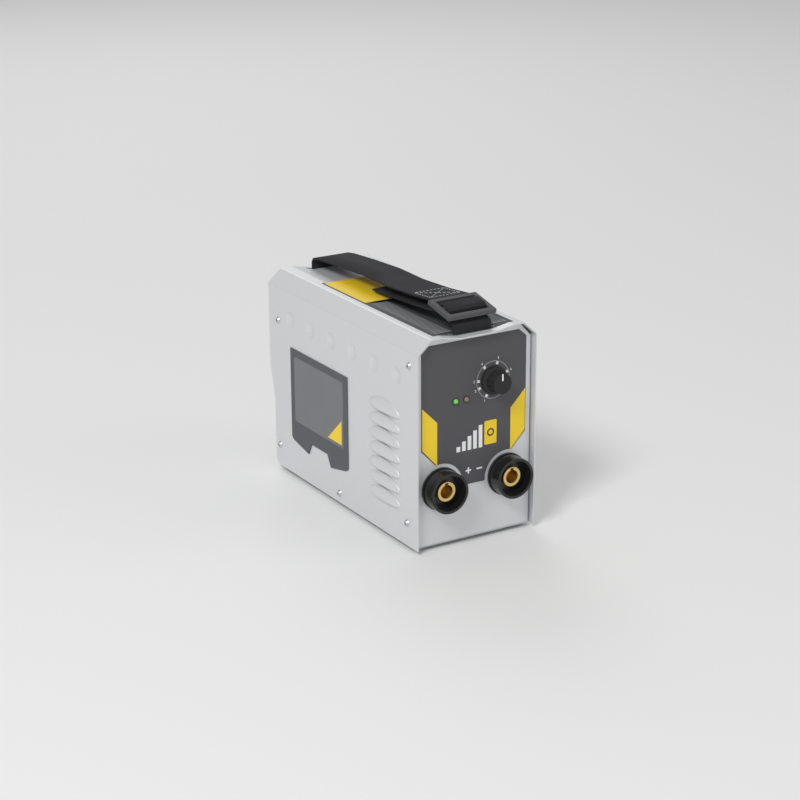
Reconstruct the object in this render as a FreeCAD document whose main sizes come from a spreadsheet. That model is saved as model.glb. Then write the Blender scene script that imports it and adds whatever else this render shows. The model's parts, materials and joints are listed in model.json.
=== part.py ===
"""Compact inverter stick welder: a folded sheet cover over a chassis that carries
the two welding sockets, the current dial, the power electronics and the fan.

Frame: millimetres, +Z up, front panel towards -Y, origin on the floor at the
middle of the footprint. In the sheet a height is measured up from the
cover's lower edge, a drop down from its crown, an inset from the nearer end.
"""
import FreeCAD, Part
import os
import re

import Sketcher
from FreeCAD import Placement, Rotation, Vector

doc = FreeCAD.newDocument("StickWelder")
sheet = doc.addObject("Spreadsheet::Sheet", "Sizes")

SIZES = {
    # cover, a folded sheet with chamfered shoulders and a shallow trough on top
    "cover_width": 128, "cover_length": 280, "cover_height": 200, "wall": 1.2,
    "chamfer_rise": 12.6, "chamfer_run": 14.1, "top_land": 12, "trough_run": 20,
    "trough_drop": 3.4, "bend_radius": 2.4, "foot_height": 4,
    "rear_step": 8.5, "step_top": 103, "step_bottom": 71, "rear_corner": 5,
    "slot_length": 50, "slot_width": 5, "front_slot_land": 9.5, "rear_slot_land": 6,
    # pressed dimples and louvres on both sides
    "dimple_radius": 8.5, "dimple_depth": 2.4, "dimple_pitch": 40, "dimple_drop": 40.3,
    "dimple_middle": -4, "louvre_half": 27.5, "louvre_rise": 11, "louvre_bulge": 4,
    "louvre_pitch": 14.5, "louvre_low": 33, "louvre_inset": 58,
    # side plates and top label
    "badge_inset": 44.5, "badge_length": 111, "badge_low": 31, "badge_high": 132,
    "badge_thick": 1, "badge_shoulder": 40, "badge_notch_high": 43,
    "label_margin": 6.9, "label_inset": 8, "label_length": 201, "label_thick": 0.3,
    # panels
    "front_inset": 6.2, "rear_inset": 13.5, "panel_gap": 1.6, "panel_foot": 3,
    "panel_head_gap": 0.8, "return_depth": 16, "return_low": 40, "panel_lip": 12,
    "overlay_margin": 4.9, "overlay_drop": 7.7, "overlay_low": 52.7, "overlay_run": 8,
    "overlay_rise": 7, "overlay_thick": 0.4, "overlay_waist": 39, "waist_high": 93.5,
    "waist_low": 75.4, "overlay_scoop": 23.8,
    # base tray and feet
    "base_thick": 1.5, "base_flange": 32, "base_gap": 0.2, "foot_radius": 8,
    "foot_across": 48, "foot_inset": 22, "foot_screw_radius": 2,
    # welding sockets
    "socket_across": 35.7, "socket_high": 54.5, "socket_reach": 10.3, "collar_radius": 19.5,
    "collar_wall": 2.6, "collar_floor": 3, "flange_radius": 20.4, "flange_thick": 2.5,
    "shank_radius": 12, "insert_radius": 9.3, "insert_recess": 6.3, "plug_bore": 6.5,
    "plug_depth": 25, "key_width": 3.4, "key_reach": 8.4,
    "stud_radius": 5, "stud_length": 10, "insert_shoulder": 18, "ring_nut_radius": 16,
    "ring_nut_thick": 6,
    "fit_gap": 0.05,
    # current dial
    "dial_across": 20.2, "dial_drop": 50.9, "skirt_radius": 13.4, "skirt_thick": 3,
    "grip_radius": 10.4, "knob_height": 16.3, "knob_gap": 0.6, "shaft_radius": 3,
    "bushing_radius": 3.5, "pot_radius": 8.5, "pot_depth": 9, "nut_flats": 10, "nut_thick": 2,
    "led_across": -20.1, "led_below": 13.7, "led_pitch": 11.5, "led_radius": 2.5,
    # control board behind the front panel
    "board_gap": 14.6, "board_thick": 1.6, "control_left": -34, "control_right": 52,
    "control_below": 33, "control_above": 35, "spacer_radius": 3, "spacer_inset": 5,
    # power board and what stands on it
    "spacer_height": 10, "board_half": 56, "board_front_inset": 32, "board_rear_inset": 48,
    "sink_length": 80, "sink_clear": 10, "sink_inner": 12, "sink_plate": 4, "sink_reach": 50,
    "sink_height": 54, "fin_thick": 1.6, "device_thick": 5, "device_width": 16,
    "device_height": 21, "device_lift": 6, "core_width": 65, "core_depth": 27,
    "core_height": 65, "leg_width": 20, "outer_leg": 10, "core_across": -12,
    "core_along": 79.5, "coil_gap": 0.3, "coil_layer": 5, "coil_end": 10.5,
    "choke_across": -30, "choke_along": 30, "choke_outer": 18, "choke_inner": 9,
    "choke_height": 17, "choke_wire": 2.2, "can_radius": 12.5, "can_height": 45,
    "can_across": 39, "can_along": 30, "can_pitch": 28, "busbar_half": 8, "busbar_thick": 2,
    "relay_across": 8, "relay_along": 22, "relay_width": 15, "relay_length": 20,
    "relay_height": 15,
    # fan and rear panel fittings
    "fan_size": 80, "fan_depth": 25, "fan_high": 70, "fan_bore": 37.5, "fan_hub": 17,
    "fan_gap": 1, "fan_web": 3, "fan_screw_pitch": 35.75, "grille_hole": 2.7,
    "grille_pitch": 8, "switch_across": -30, "switch_drop": 42, "switch_width": 30,
    "switch_tall": 24, "switch_flange": 2, "switch_depth": 24, "rocker_width": 20,
    "rocker_tall": 15, "rocker_tilt": 9, "gland_across": 30, "gland_drop": 42,
    "gland_flats": 24, "gland_bore": 5, "gland_shank": 8, "gland_tail": 10,
    "gland_seal": 9, "cable_nut_radius": 11.5,
    # fasteners
    "screw_head": 3.6, "screw_dome": 2, "screw_shank": 1.9, "screw_length": 9,
    "rear_screw_inset": 19, "rear_screw_drop": 46.7, "back_screw_inset": 18, "low_screw_high": 22.2,
    "middle_screw": 2.7, "middle_screw_high": 9.5, "toe_screw_inset": 18.7, "nose_screw_inset": 14.1,
    "nose_screw_drop": 25.6,
    # carrying strap and its buckle; heights from the cover's lower edge
    "strap_width": 40, "strap_thick": 1.8, "strap_across": 1, "hem_gap": 0.3, "rod_radius": 2.2,
    "buckle_width": 51, "buckle_length": 35.5, "buckle_thick": 4, "buckle_bar": 4.6,
    "buckle_inset": 43.4, "buckle_rise": 18.8, "buckle_tilt": 12,
}
LOUVRES = 7
DIMPLES = 6
GRILLE_RINGS = 4
FINS = 9
FAN_BLADES = 7
CHOKE_TURNS = 14
KNOB_FLUTES = 12

for row, (alias, value) in enumerate(SIZES.items(), start=1):
    sheet.set(f"A{row}", alias)
    sheet.set(f"B{row}", str(value))
    sheet.setAlias(f"B{row}", alias)
doc.recompute()

# Shorthand for places that several parts share, written in the sheet's own aliases.
PLACES = {
    "side": "(cover_width / 2)",
    "floor": "foot_height",
    "crown": "(foot_height + cover_height)",
    "trough": "(foot_height + cover_height - trough_drop)",
    "nose": "(-cover_length / 2)",
    "tail": "(cover_length / 2)",
    "panel_half": "(cover_width / 2 - wall - panel_gap)",
    "front_face": "(-cover_length / 2 + front_inset)",
    "front_back": "(-cover_length / 2 + front_inset + wall)",
    "rear_face": "(cover_length / 2 - rear_inset)",
    "rear_back": "(cover_length / 2 - rear_inset - wall)",
    "base_top": "(foot_height + base_thick)",
    "board_low": "(foot_height + base_thick + spacer_height)",
    "board_top": "(foot_height + base_thick + spacer_height + board_thick)",
    "socket_front": "(-cover_length / 2 - socket_reach)",
    "socket_z": "(foot_height + socket_high)",
    "dial_z": "(foot_height + cover_height - dial_drop)",
    "led_z": "(foot_height + cover_height - dial_drop - led_below)",
    "overlay_half": "(cover_width / 2 - wall - panel_gap - overlay_margin)",
    "board_front": "(-cover_length / 2 + board_front_inset)",
    "board_rear": "(cover_length / 2 - board_rear_inset)",
    "sink_rear": "(cover_length / 2 - board_rear_inset - sink_clear)",
    "sink_front": "(cover_length / 2 - board_rear_inset - sink_clear - sink_length)",
    "core_middle": "(-cover_length / 2 + board_front_inset + core_along)",
    "choke_middle": "(-cover_length / 2 + board_front_inset + choke_along)",
    "badge_rear": "(cover_length / 2 - badge_inset)",
    "badge_front": "(cover_length / 2 - badge_inset - badge_length)",
    "switch_z": "(foot_height + cover_height - switch_drop)",
    "gland_z": "(foot_height + cover_height - gland_drop)",
    "fan_z": "(foot_height + fan_high)",
    "control_face": "(-cover_length / 2 + front_inset + wall + board_gap)",
    "front_slot": "(-cover_length / 2 + front_slot_land + slot_width / 2)",
    "rear_slot": "(cover_length / 2 - rear_slot_land - slot_width / 2)",
    "hem_radius": "(rod_radius + hem_gap + strap_thick)",
    "hem_z": "(foot_height + cover_height - trough_drop - wall - 2 * hem_gap - rod_radius - strap_thick)",
}
PLACE_WORD = re.compile(r"\b(" + "|".join(PLACES) + r")\b")
ALIAS_WORD = re.compile(r"\b(" + "|".join(SIZES) + r")\b")


def formula(text):
    """An expression for the document: place words opened up, aliases tied to the sheet."""
    text = PLACE_WORD.sub(lambda word: PLACES[word.group(1)], str(text))
    return ALIAS_WORD.sub(r"Sizes.\1", text)


def bind(obj, **values):
    for prop, text in values.items():
        obj.setExpression(prop, formula(text))


def place(obj, x="0", y="0", z="0", turn=None):
    """Bind the placement's base, after an optional fixed turn."""
    if turn is not None:
        obj.Placement = Placement(Vector(), turn)
    for axis, text in zip("xyz", (x, y, z)):
        obj.setExpression(f"Placement.Base.{axis}", formula(text))
    return obj


UPRIGHT = Rotation()
ALONG_X = Rotation(Vector(0, 1, 0), 90)
ALONG_Y = Rotation(Vector(1, 0, 0), -90)
TOWARDS_FRONT = Rotation(Vector(1, 0, 0), 90)
TOWARDS_LEFT = Rotation(Vector(0, 1, 0), -90)


def box(name, low, size):
    obj = doc.addObject("Part::Box", name)
    bind(obj, Length=size[0], Width=size[1], Height=size[2])
    return place(obj, *low)


def rod(name, start, radius, length, turn=UPRIGHT):
    obj = doc.addObject("Part::Cylinder", name)
    bind(obj, Radius=radius, Height=length)
    return place(obj, *start, turn=turn)


def cone(name, start, radius, end_radius, length, turn=UPRIGHT):
    obj = doc.addObject("Part::Cone", name)
    bind(obj, Radius1=radius, Radius2=end_radius, Height=length)
    return place(obj, *start, turn=turn)


def hexagon(name, start, flats, length, turn=UPRIGHT):
    obj = doc.addObject("Part::Prism", name)
    obj.Polygon = 6
    bind(obj, Circumradius=f"({flats}) / sqrt(3)", Height=length)
    return place(obj, *start, turn=turn)


def fuse(name, *shapes):
    obj = doc.addObject("Part::MultiFuse", name)
    obj.Shapes = list(shapes)
    return obj


def cut(name, base, *tools):
    tool = tools[0] if len(tools) == 1 else fuse(name + "_tools", *tools)
    obj = doc.addObject("Part::Cut", name)
    obj.Base = base
    obj.Tool = tool
    return obj


def common(name, base, tool):
    obj = doc.addObject("Part::Common", name)
    obj.Base = base
    obj.Tool = tool
    return obj


def group(name, *shapes):
    obj = doc.addObject("Part::Compound", name)
    obj.Links = list(shapes)
    return obj


def tube(name, start, outer, inner, length, turn=UPRIGHT):
    return cut(name, rod(name + "_wall", start, outer, length, turn),
               rod(name + "_hole", start, inner, length, turn))


def origin_plane(body, role):
    return next(f for f in body.Origin.OriginFeatures if f.Role == role)


def sketch(body, name, role, offset="0"):
    flat = body.newObject("Sketcher::SketchObject", name)
    flat.AttachmentSupport = [(origin_plane(body, role), "")]
    flat.MapMode = "FlatFace"
    flat.setExpression("AttachmentOffset.Base.z", formula(offset))
    return flat


def fix(flat, kind, value, *where):
    index = flat.addConstraint(Sketcher.Constraint(kind, *where, 1.0))
    flat.setExpression(f"Constraints[{index}]", formula(value))


def outline(flat, corners):
    """A closed polygon whose corners are each tied to the sheet."""
    count = len(corners)
    first = flat.GeometryCount
    for i in range(count):
        start, end = Vector(i, i * i, 0), Vector((i + 1) % count, ((i + 1) % count) ** 2, 0)
        flat.addGeometry(Part.LineSegment(start, end), False)
    for i, (across, up) in enumerate(corners):
        flat.addConstraint(Sketcher.Constraint("Coincident", first + i, 1, first + (i - 1) % count, 2))
        fix(flat, "DistanceX", across, -1, 1, first + i, 1)
        fix(flat, "DistanceY", up, -1, 1, first + i, 1)


def circle(flat, across, up, radius):
    index = flat.addGeometry(Part.Circle(Vector(1, 1, 0), Vector(0, 0, 1), 1.0), False)
    fix(flat, "DistanceX", across, -1, 1, index, 3)
    fix(flat, "DistanceY", up, -1, 1, index, 3)
    fix(flat, "Radius", radius, index)


def extrude(body, kind, flat, length, both_ways=False):
    feature = body.newObject(f"PartDesign::{kind}", f"{flat.Name}_{kind.lower()}")
    feature.Profile = flat
    feature.Midplane = both_ways
    bind(feature, Length=length)
    return feature


def plate(name, role, corners, offset, thick, both_ways=False):
    """A polygon plate; offset is measured along the plane's own normal."""
    body = doc.addObject("PartDesign::Body", name)
    flat = sketch(body, name + "_outline", role, offset)
    outline(flat, corners)
    extrude(body, "Pad", flat, thick, both_ways)
    return body


nodes = {}


def node(name, obj):
    """Name a finished sub-part; its label becomes its file's name."""
    obj.Label = name
    nodes[name] = obj
    return obj


def mirrored_pair(corners):
    """Right-hand corners of a symmetric outline, followed by their mirror images."""
    return corners + [(f"-({across})", up) for across, up in reversed(corners)]


# ---------------------------------------------------------------- cover
SHOULDER = "tan(atan(chamfer_run / chamfer_rise) / 2)"
BROW = "tan(atan(chamfer_rise / chamfer_run) / 2)"
DIP = "tan(atan(trough_drop / trough_run) / 2)"
LAND_START = "side - chamfer_run"
LAND_END = "side - chamfer_run - top_land"
TROUGH_START = "side - chamfer_run - top_land - trough_run"


def cover_section():
    """Half of the folded sheet, outside then inside, mitred at every bend."""
    outside = [("side", "floor"), ("side", "crown - chamfer_rise"), (LAND_START, "crown"),
               (LAND_END, "crown"), (TROUGH_START, "trough")]
    inside = [("side - wall", "floor"),
              ("side - wall", f"crown - chamfer_rise - wall * {SHOULDER}"),
              (f"{LAND_START} - wall * {BROW}", "crown - wall"),
              (f"{LAND_END} + wall * {DIP}", "crown - wall"),
              (f"{TROUGH_START} + wall * {DIP}", "trough - wall")]
    left_out = [(f"-({across})", up) for across, up in reversed(outside)]
    left_in = [(f"-({across})", up) for across, up in inside]
    return outside + left_out + left_in + list(reversed(inside))


def bend_edges(shape, inner):
    """Names of the long edges at the two bends of each shoulder."""
    half = sheet.cover_width / 2
    crown = sheet.foot_height + sheet.cover_height
    depth = sheet.wall if inner else 0
    names = []
    for index, edge in enumerate(shape.Edges, start=1):
        box_of_edge = edge.BoundBox
        if box_of_edge.YLength < 0.9 * sheet.cover_length:
            continue
        across, up = abs(box_of_edge.Center.x), box_of_edge.Center.z
        low_bend = abs(across - half + depth) < 0.01 and up > sheet.foot_height + 1
        high_bend = abs(up - crown + depth) < 0.01 and across > half - sheet.chamfer_run - 2
        if low_bend or high_bend:
            names.append(f"Edge{index}")
    return names


shell = doc.addObject("PartDesign::Body", "cover_shell")
section = sketch(shell, "cover_section", "XZ_Plane")
outline(section, cover_section())
folded = extrude(shell, "Pad", section, "cover_length", both_ways=True)
doc.recompute()
for side_of_sheet, inner, radius in (("inner", True, "bend_radius - wall"), ("outer", False, "bend_radius")):
    rounded = shell.newObject("PartDesign::Fillet", f"cover_{side_of_sheet}_bends")
    rounded.Base = (folded, bend_edges(folded.Shape, inner))
    bind(rounded, Radius=radius)
    doc.recompute()
    folded = rounded
rear_profile = sketch(shell, "cover_rear_profile", "YZ_Plane")
outline(rear_profile, [("tail", "floor + step_top"), ("tail - rear_step", "floor + step_bottom"),
                       ("tail - rear_step", "floor + rear_corner"),
                       ("tail - rear_step - rear_corner", "floor"), ("tail - rear_step", "0"),
                       ("tail + 1", "0"), ("tail + 1", "floor + step_top")])
extrude(shell, "Pocket", rear_profile, "cover_width + 2", both_ways=True)
slots = sketch(shell, "strap_slots", "XY_Plane", "trough - 2 * wall")
for middle in ("front_slot", "rear_slot"):
    outline(slots, [("-slot_length / 2", f"{middle} - slot_width / 2"),
                    ("slot_length / 2", f"{middle} - slot_width / 2"),
                    ("slot_length / 2", f"{middle} + slot_width / 2"),
                    ("-slot_length / 2", f"{middle} + slot_width / 2")])
extrude(shell, "Pocket", slots, "4 * wall").Reversed = True

REAR_SCREW = ("tail - rear_screw_inset", "crown - rear_screw_drop")
NOSE_SCREW = ("nose + nose_screw_inset", "crown - nose_screw_drop")
TRAY_SIDE_SCREWS = [("tail - back_screw_inset", "floor + low_screw_high"),
                    ("middle_screw", "floor + middle_screw_high"),
                    ("nose + toe_screw_inset", "floor + low_screw_high")]
SIDE_SCREWS = [REAR_SCREW, NOSE_SCREW] + TRAY_SIDE_SCREWS
SIDES = (("left", "-", TOWARDS_LEFT), ("right", "", ALONG_X))


def side_hole(name, sign, along, up, radius, depth):
    """A rod through one side wall, starting depth inside it and ending outside."""
    return rod(name, (f"{sign}(side - {depth})", along, up), radius, f"{depth} + 1",
               TOWARDS_LEFT if sign else ALONG_X)


bulges, hollows, hoods, throats, screw_holes = [], [], [], [], []
DISH = "((dimple_radius ^ 2 + dimple_depth ^ 2) / (2 * dimple_depth))"
for side_name, sign, outward in SIDES:
    for i in range(DIMPLES):
        along = f"dimple_middle + dimple_pitch * {i - (DIMPLES - 1) / 2}"
        for kind, radius, store in (("bulge", f"{DISH} + wall", bulges), ("hollow", DISH, hollows)):
            ball = doc.addObject("Part::Sphere", f"dimple_{kind}_{side_name}")
            bind(ball, Radius=radius)
            place(ball, f"{sign}(side + {DISH} - dimple_depth)", along, "crown - dimple_drop")
            store.append(ball)
    for i in range(LOUVRES):
        up = f"floor + louvre_low + louvre_pitch * {i}"
        for kind, skin, store in (("hood", "0", hoods), ("throat", "wall", throats)):
            egg = doc.addObject("Part::Ellipsoid", f"louvre_{kind}_{side_name}")
            bind(egg, Radius1=f"louvre_rise - {skin}", Radius2=f"louvre_bulge - {skin}",
                 Radius3=f"louvre_half - {skin}")
            egg.Angle1 = 0
            store.append(place(egg, f"{sign}side", "nose + louvre_inset", up))
    for along, up in SIDE_SCREWS:
        screw_holes.append(side_hole(f"cover_screw_hole_{side_name}", sign, along, up,
                                     "screw_shank + 4 * fit_gap", "2 * wall"))
inside_room = box("inside_room", ("-side + wall / 2", "nose", "floor"),
                  ("cover_width - wall", "cover_length", "cover_height"))
pressed_in = common("pressed_in", group("dimple_bulges", *bulges), inside_room)
pressed_out = cut("pressed_out", group("louvre_hoods", *hoods), inside_room)
node("cover", cut("cover_finished", fuse("cover_pressed", shell, pressed_in, pressed_out),
                  group("dimple_hollows", *hollows), group("louvre_throats", *throats),
                  group("cover_screw_holes", *screw_holes)))


# ---------------------------------------------------------------- base tray, feet
def chassis():
    tray = box("base_floor", ("-side + wall + base_gap", "front_face", "floor"),
               ("cover_width - 2 * wall - 2 * base_gap", "rear_face - front_face", "base_thick"))
    flanges = [box(f"base_flange_{name}",
                   (f"{'-side + wall + base_gap' if sign else 'side - 2 * wall - base_gap'}",
                    "front_back + base_gap", "floor"),
                   ("wall", "rear_back - front_back - 2 * base_gap", "base_flange"))
               for name, sign, outward in SIDES]
    drills = [side_hole(f"base_screw_hole_{name}", sign, along, up, "screw_shank + fit_gap", "4 * wall")
              for name, sign, outward in SIDES for along, up in TRAY_SIDE_SCREWS]
    drills += [rod("base_foot_hole", (x, y, "0"), "foot_screw_radius + fit_gap", "foot_height + 2 * base_thick")
               for x, y in FEET]
    drills += [rod("base_lip_hole", (x, y, "0"), "screw_shank + fit_gap", "foot_height + 2 * base_thick")
               for x, y in LIP_SCREWS]
    drills += [rod("base_spacer_hole", (x, y, "0"), "screw_shank + fit_gap", "foot_height + 2 * base_thick")
               for x, y in BOARD_SPACERS]
    return cut("base_tray_body", fuse("base_blank", tray, *flanges), *drills)


FEET = [(f"{sx}foot_across", y) for sx in ("-", "") for y in ("nose + foot_inset", "tail - foot_inset")]
LIP_SCREWS = [(f"{sx}side / 2", y) for sx in ("-", "")
              for y in ("front_back + panel_lip / 2", "rear_back - panel_lip / 2")]
BOARD_SPACERS = [(f"{sx}(board_half - spacer_inset)", y) for sx in ("-", "")
                 for y in ("board_front + spacer_inset", "(board_front + board_rear) / 2",
                           "board_rear - spacer_inset")]
node("base_tray", chassis())


def foot(x, y):
    pad = cone("foot_pad", (x, y, "0"), "foot_radius - 1", "foot_radius", "foot_height")
    return cut("foot", pad,
               rod("foot_recess", (x, y, "-1"), "2 * foot_screw_radius + 0.3", "foot_height / 2 + 1"),
               rod("foot_hole", (x, y, "0"), "foot_screw_radius + fit_gap", "foot_height"))


def foot_screw(x, y):
    return fuse("foot_screw", rod("foot_screw_head", (x, y, "foot_height / 2 - 1.6"),
                                  "2 * foot_screw_radius", "1.6"),
                rod("foot_screw_shank", (x, y, "foot_height / 2 - 1.6"), "foot_screw_radius",
                    "foot_height / 2 + base_thick + 1.6"))


node("rubber_feet", group("feet", *[foot(x, y) for x, y in FEET]))
node("foot_screws", group("foot_screw_set", *[foot_screw(x, y) for x, y in FEET]))


def lip_screw(x, y):
    """A short screw from below, through the tray into a panel's lip or a board spacer."""
    return fuse("tray_screw", rod("tray_screw_head", (x, y, "floor - screw_dome"), "screw_head", "screw_dome"),
                rod("tray_screw_shank", (x, y, "floor - screw_dome"), "screw_shank",
                    "screw_dome + base_thick + wall + 3"))


node("tray_screws", group("tray_screw_set", *[lip_screw(x, y) for x, y in LIP_SCREWS + BOARD_SPACERS]))


# ---------------------------------------------------------------- side screws
def side_screw(sign, along, up):
    turn = TOWARDS_LEFT if sign else ALONG_X
    head = cone("side_screw_head", (f"{sign}side", along, up), "screw_head",
                "screw_head * 0.62", "screw_dome", turn)
    shank = rod("side_screw_shank", (f"{sign}(side - screw_length)", along, up),
                "screw_shank", "screw_length", turn)
    socket = hexagon("side_screw_drive", (f"{sign}(side + screw_dome / 3)", along, up),
                     "2.5", "screw_dome", turn)
    return cut("side_screw", fuse("side_screw_blank", head, shank), socket)


for side_name, sign, outward in SIDES:
    node(f"cover_screws_{side_name}",
         group(f"side_screw_set_{side_name}", *[side_screw(sign, a, u) for a, u in SIDE_SCREWS]))


# ---------------------------------------------------------------- side plates, top label
def badge(name, sign):
    middle = "(badge_rear + badge_front) / 2"
    corners = [("badge_front", "floor + badge_high"), ("badge_rear", "floor + badge_high"),
               ("badge_rear", "floor + badge_shoulder"), ("badge_rear - 4", "floor + badge_shoulder - 3"),
               (f"{middle} + 22", "floor + badge_low"), (f"{middle} + 15.5", "floor + badge_notch_high"),
               (f"{middle} - 15.5", "floor + badge_notch_high"), (f"{middle} - 22", "floor + badge_low"),
               ("badge_front + 4", "floor + badge_shoulder - 3"), ("badge_front", "floor + badge_shoulder")]
    offset = "-side - badge_thick" if sign else "side"
    return plate(name, "YZ_Plane", corners, offset, "badge_thick")


for side_name, sign, outward in SIDES:
    node(f"side_plate_{side_name}", badge(f"side_plate_{side_name}_body", sign))

LABEL_HALF = f"{LAND_START} - label_margin"
label_top = [(LABEL_HALF, "crown + label_thick"), (LAND_END, "crown + label_thick"),
             (TROUGH_START, "trough + label_thick")]
label_under = [(LABEL_HALF, "crown"), (LAND_END, "crown"), (TROUGH_START, "trough")]
label = plate("label_body", "XZ_Plane",
              label_top + [(f"-({a})", u) for a, u in reversed(label_top)]
              + [(f"-({a})", u) for a, u in label_under] + list(reversed(label_under)),
              "-(nose + label_inset + label_length)", "label_length")
node("top_label", cut("label_cut", label,
                      box("label_slot", ("-slot_length / 2", "front_slot - slot_width / 2", "trough - 1"),
                          ("slot_length", "slot_width", "trough_drop + 3"))))


# ---------------------------------------------------------------- front panel
HEAD = "wall + panel_head_gap"
PANEL_CORNERS = mirrored_pair([
    ("panel_half", "floor + panel_foot"),
    ("panel_half", f"crown - chamfer_rise - panel_head_gap - wall * {SHOULDER} - panel_gap"),
    (f"{LAND_START} - ({HEAD}) * {BROW}", f"crown - ({HEAD})"),
    (f"{LAND_END} + ({HEAD}) * {DIP}", f"crown - ({HEAD})"),
    (f"{TROUGH_START} + ({HEAD}) * {DIP}", f"trough - ({HEAD})")])


def returns(tag, start, inward):
    """Side flanges and a bottom lip, folded inward from a panel's edges."""
    parts = []
    for side_name, sign, outward in SIDES:
        low_x = "-panel_half" if sign else "panel_half - wall"
        parts.append(box(f"{tag}_return_{side_name}",
                         (low_x, start if inward > 0 else f"{start} - return_depth", "floor + return_low"),
                         ("wall", "return_depth", "cover_height - return_low - chamfer_rise - 4 * wall")))
    parts.append(box(f"{tag}_lip", ("-panel_half + wall + 1",
                                    start if inward > 0 else f"{start} - panel_lip", "base_top"),
                     ("2 * panel_half - 2 * wall - 2", "panel_lip", "wall")))
    return parts


def panel(tag, face, back, inward, drills, low):
    blank = plate(f"{tag}_blank", "XZ_Plane", [(a, u if u != "floor + panel_foot" else low)
                                              for a, u in PANEL_CORNERS],
                  f"-({back})" if inward > 0 else f"-({face})", "wall")
    return cut(f"{tag}_body", fuse(f"{tag}_folded", blank, *returns(tag, back, inward)), *drills)


front_drills = [rod(f"front_socket_hole_{n}", (f"{s}socket_across", "front_face - 1", "socket_z"),
                    "shank_radius + fit_gap", "wall + 2", ALONG_Y) for n, s in (("plus", "-"), ("minus", ""))]
front_drills += [rod("front_dial_hole", ("dial_across", "front_face - 1", "dial_z"),
                     "bushing_radius + fit_gap", "wall + 2", ALONG_Y)]
front_drills += [rod("front_led_hole", (f"led_across + led_pitch * {i}", "front_face - 1", "led_z"),
                     "led_radius + fit_gap", "wall + 2", ALONG_Y) for i in range(2)]
front_drills += [side_hole(f"front_screw_hole_{n}", s, along, up, "screw_shank + fit_gap", "6 * wall")
                 for n, s, outward in SIDES for along, up in [NOSE_SCREW]]
front_drills += [rod("front_lip_hole", (x, y, "floor"), "screw_shank + fit_gap", "base_thick + 2 * wall")
                 for x, y in LIP_SCREWS if "front_back" in y]
node("front_panel", panel("front_panel", "front_face", "front_back", 1, front_drills, "base_top"))

overlay = plate("overlay_body", "XZ_Plane", mirrored_pair([
    ("overlay_waist", "floor + overlay_low"), ("overlay_waist", "floor + waist_low"),
    ("overlay_half", "floor + waist_high"), ("overlay_half", "crown - overlay_drop - overlay_rise"),
    ("overlay_half - overlay_run", "crown - overlay_drop")]), "-(front_face)", "overlay_thick")
overlay_holes = sketch(overlay, "overlay_holes", "XZ_Plane", "-(front_face) - 1")
for across in ("-socket_across", "socket_across"):
    circle(overlay_holes, across, "socket_z", "overlay_scoop")
circle(overlay_holes, "dial_across", "dial_z", "nut_flats / sqrt(3) + 0.4")
for i in range(2):
    circle(overlay_holes, f"led_across + led_pitch * {i}", "led_z", "led_radius + fit_gap")
extrude(overlay, "Pocket", overlay_holes, "overlay_thick + 3", both_ways=True)
node("front_overlay", overlay)


# ---------------------------------------------------------------- welding sockets
def collar(name, x):
    """Insulating housing: flange, hollow collar, and a shank through the panel."""
    floor_y = "front_face - flange_thick - collar_floor"
    solid = fuse(f"{name}_solid",
                 rod(f"{name}_flange", (x, "front_face", "socket_z"), "flange_radius", "flange_thick", TOWARDS_FRONT),
                 rod(f"{name}_ring", (x, "socket_front", "socket_z"), "collar_radius",
                     "front_face - socket_front", ALONG_Y),
                 rod(f"{name}_shank", (x, "front_face - 1", "socket_z"), "shank_radius",
                     "wall + ring_nut_thick + 3", ALONG_Y))
    return cut(name, solid,
               rod(f"{name}_recess", (x, "socket_front - 1", "socket_z"), "collar_radius - collar_wall",
                   f"{floor_y} - socket_front + 1", ALONG_Y),
               rod(f"{name}_bore", (x, "socket_front", "socket_z"), "insert_radius + fit_gap",
                   "front_back - socket_front + ring_nut_thick + 4", ALONG_Y))


def insert(name, x):
    """Brass female contact with a keyed bore, a collar behind and a stud for the busbar."""
    mouth = "socket_front + insert_recess"
    shoulder = "front_back + insert_shoulder"
    solid = fuse(f"{name}_solid",
                 rod(f"{name}_barrel", (x, mouth, "socket_z"), "insert_radius", f"{shoulder} - ({mouth})", ALONG_Y),
                 rod(f"{name}_stud", (x, shoulder, "socket_z"), "stud_radius", "stud_length", ALONG_Y))
    key = box(f"{name}_key", (f"{x} - key_width / 2", f"{mouth} - 1", "socket_z"),
              ("key_width", "plug_depth * 0.55 + 1", "key_reach"))
    return cut(name, solid, rod(f"{name}_bore", (x, f"{mouth} - 1", "socket_z"), "plug_bore",
                                "plug_depth + 1", ALONG_Y), key)


def busbar(name, x):
    """A copper strip from the power board up to the stud, with a folded foot."""
    face = "front_back + insert_shoulder"
    strip = box(f"{name}_strip", (f"{x} - busbar_half", face, "board_top"),
                ("2 * busbar_half", "busbar_thick", "socket_z - board_top + busbar_half"))
    step = box(f"{name}_foot", (f"{x} - busbar_half", face, "board_top"),
               ("2 * busbar_half", f"board_front + 7 - ({face})", "busbar_thick"))
    return cut(name, fuse(f"{name}_blank", strip, step),
               rod(f"{name}_hole", (x, f"{face} - 1", "socket_z"), "stud_radius + fit_gap",
                   "busbar_thick + 2", ALONG_Y))


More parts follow.
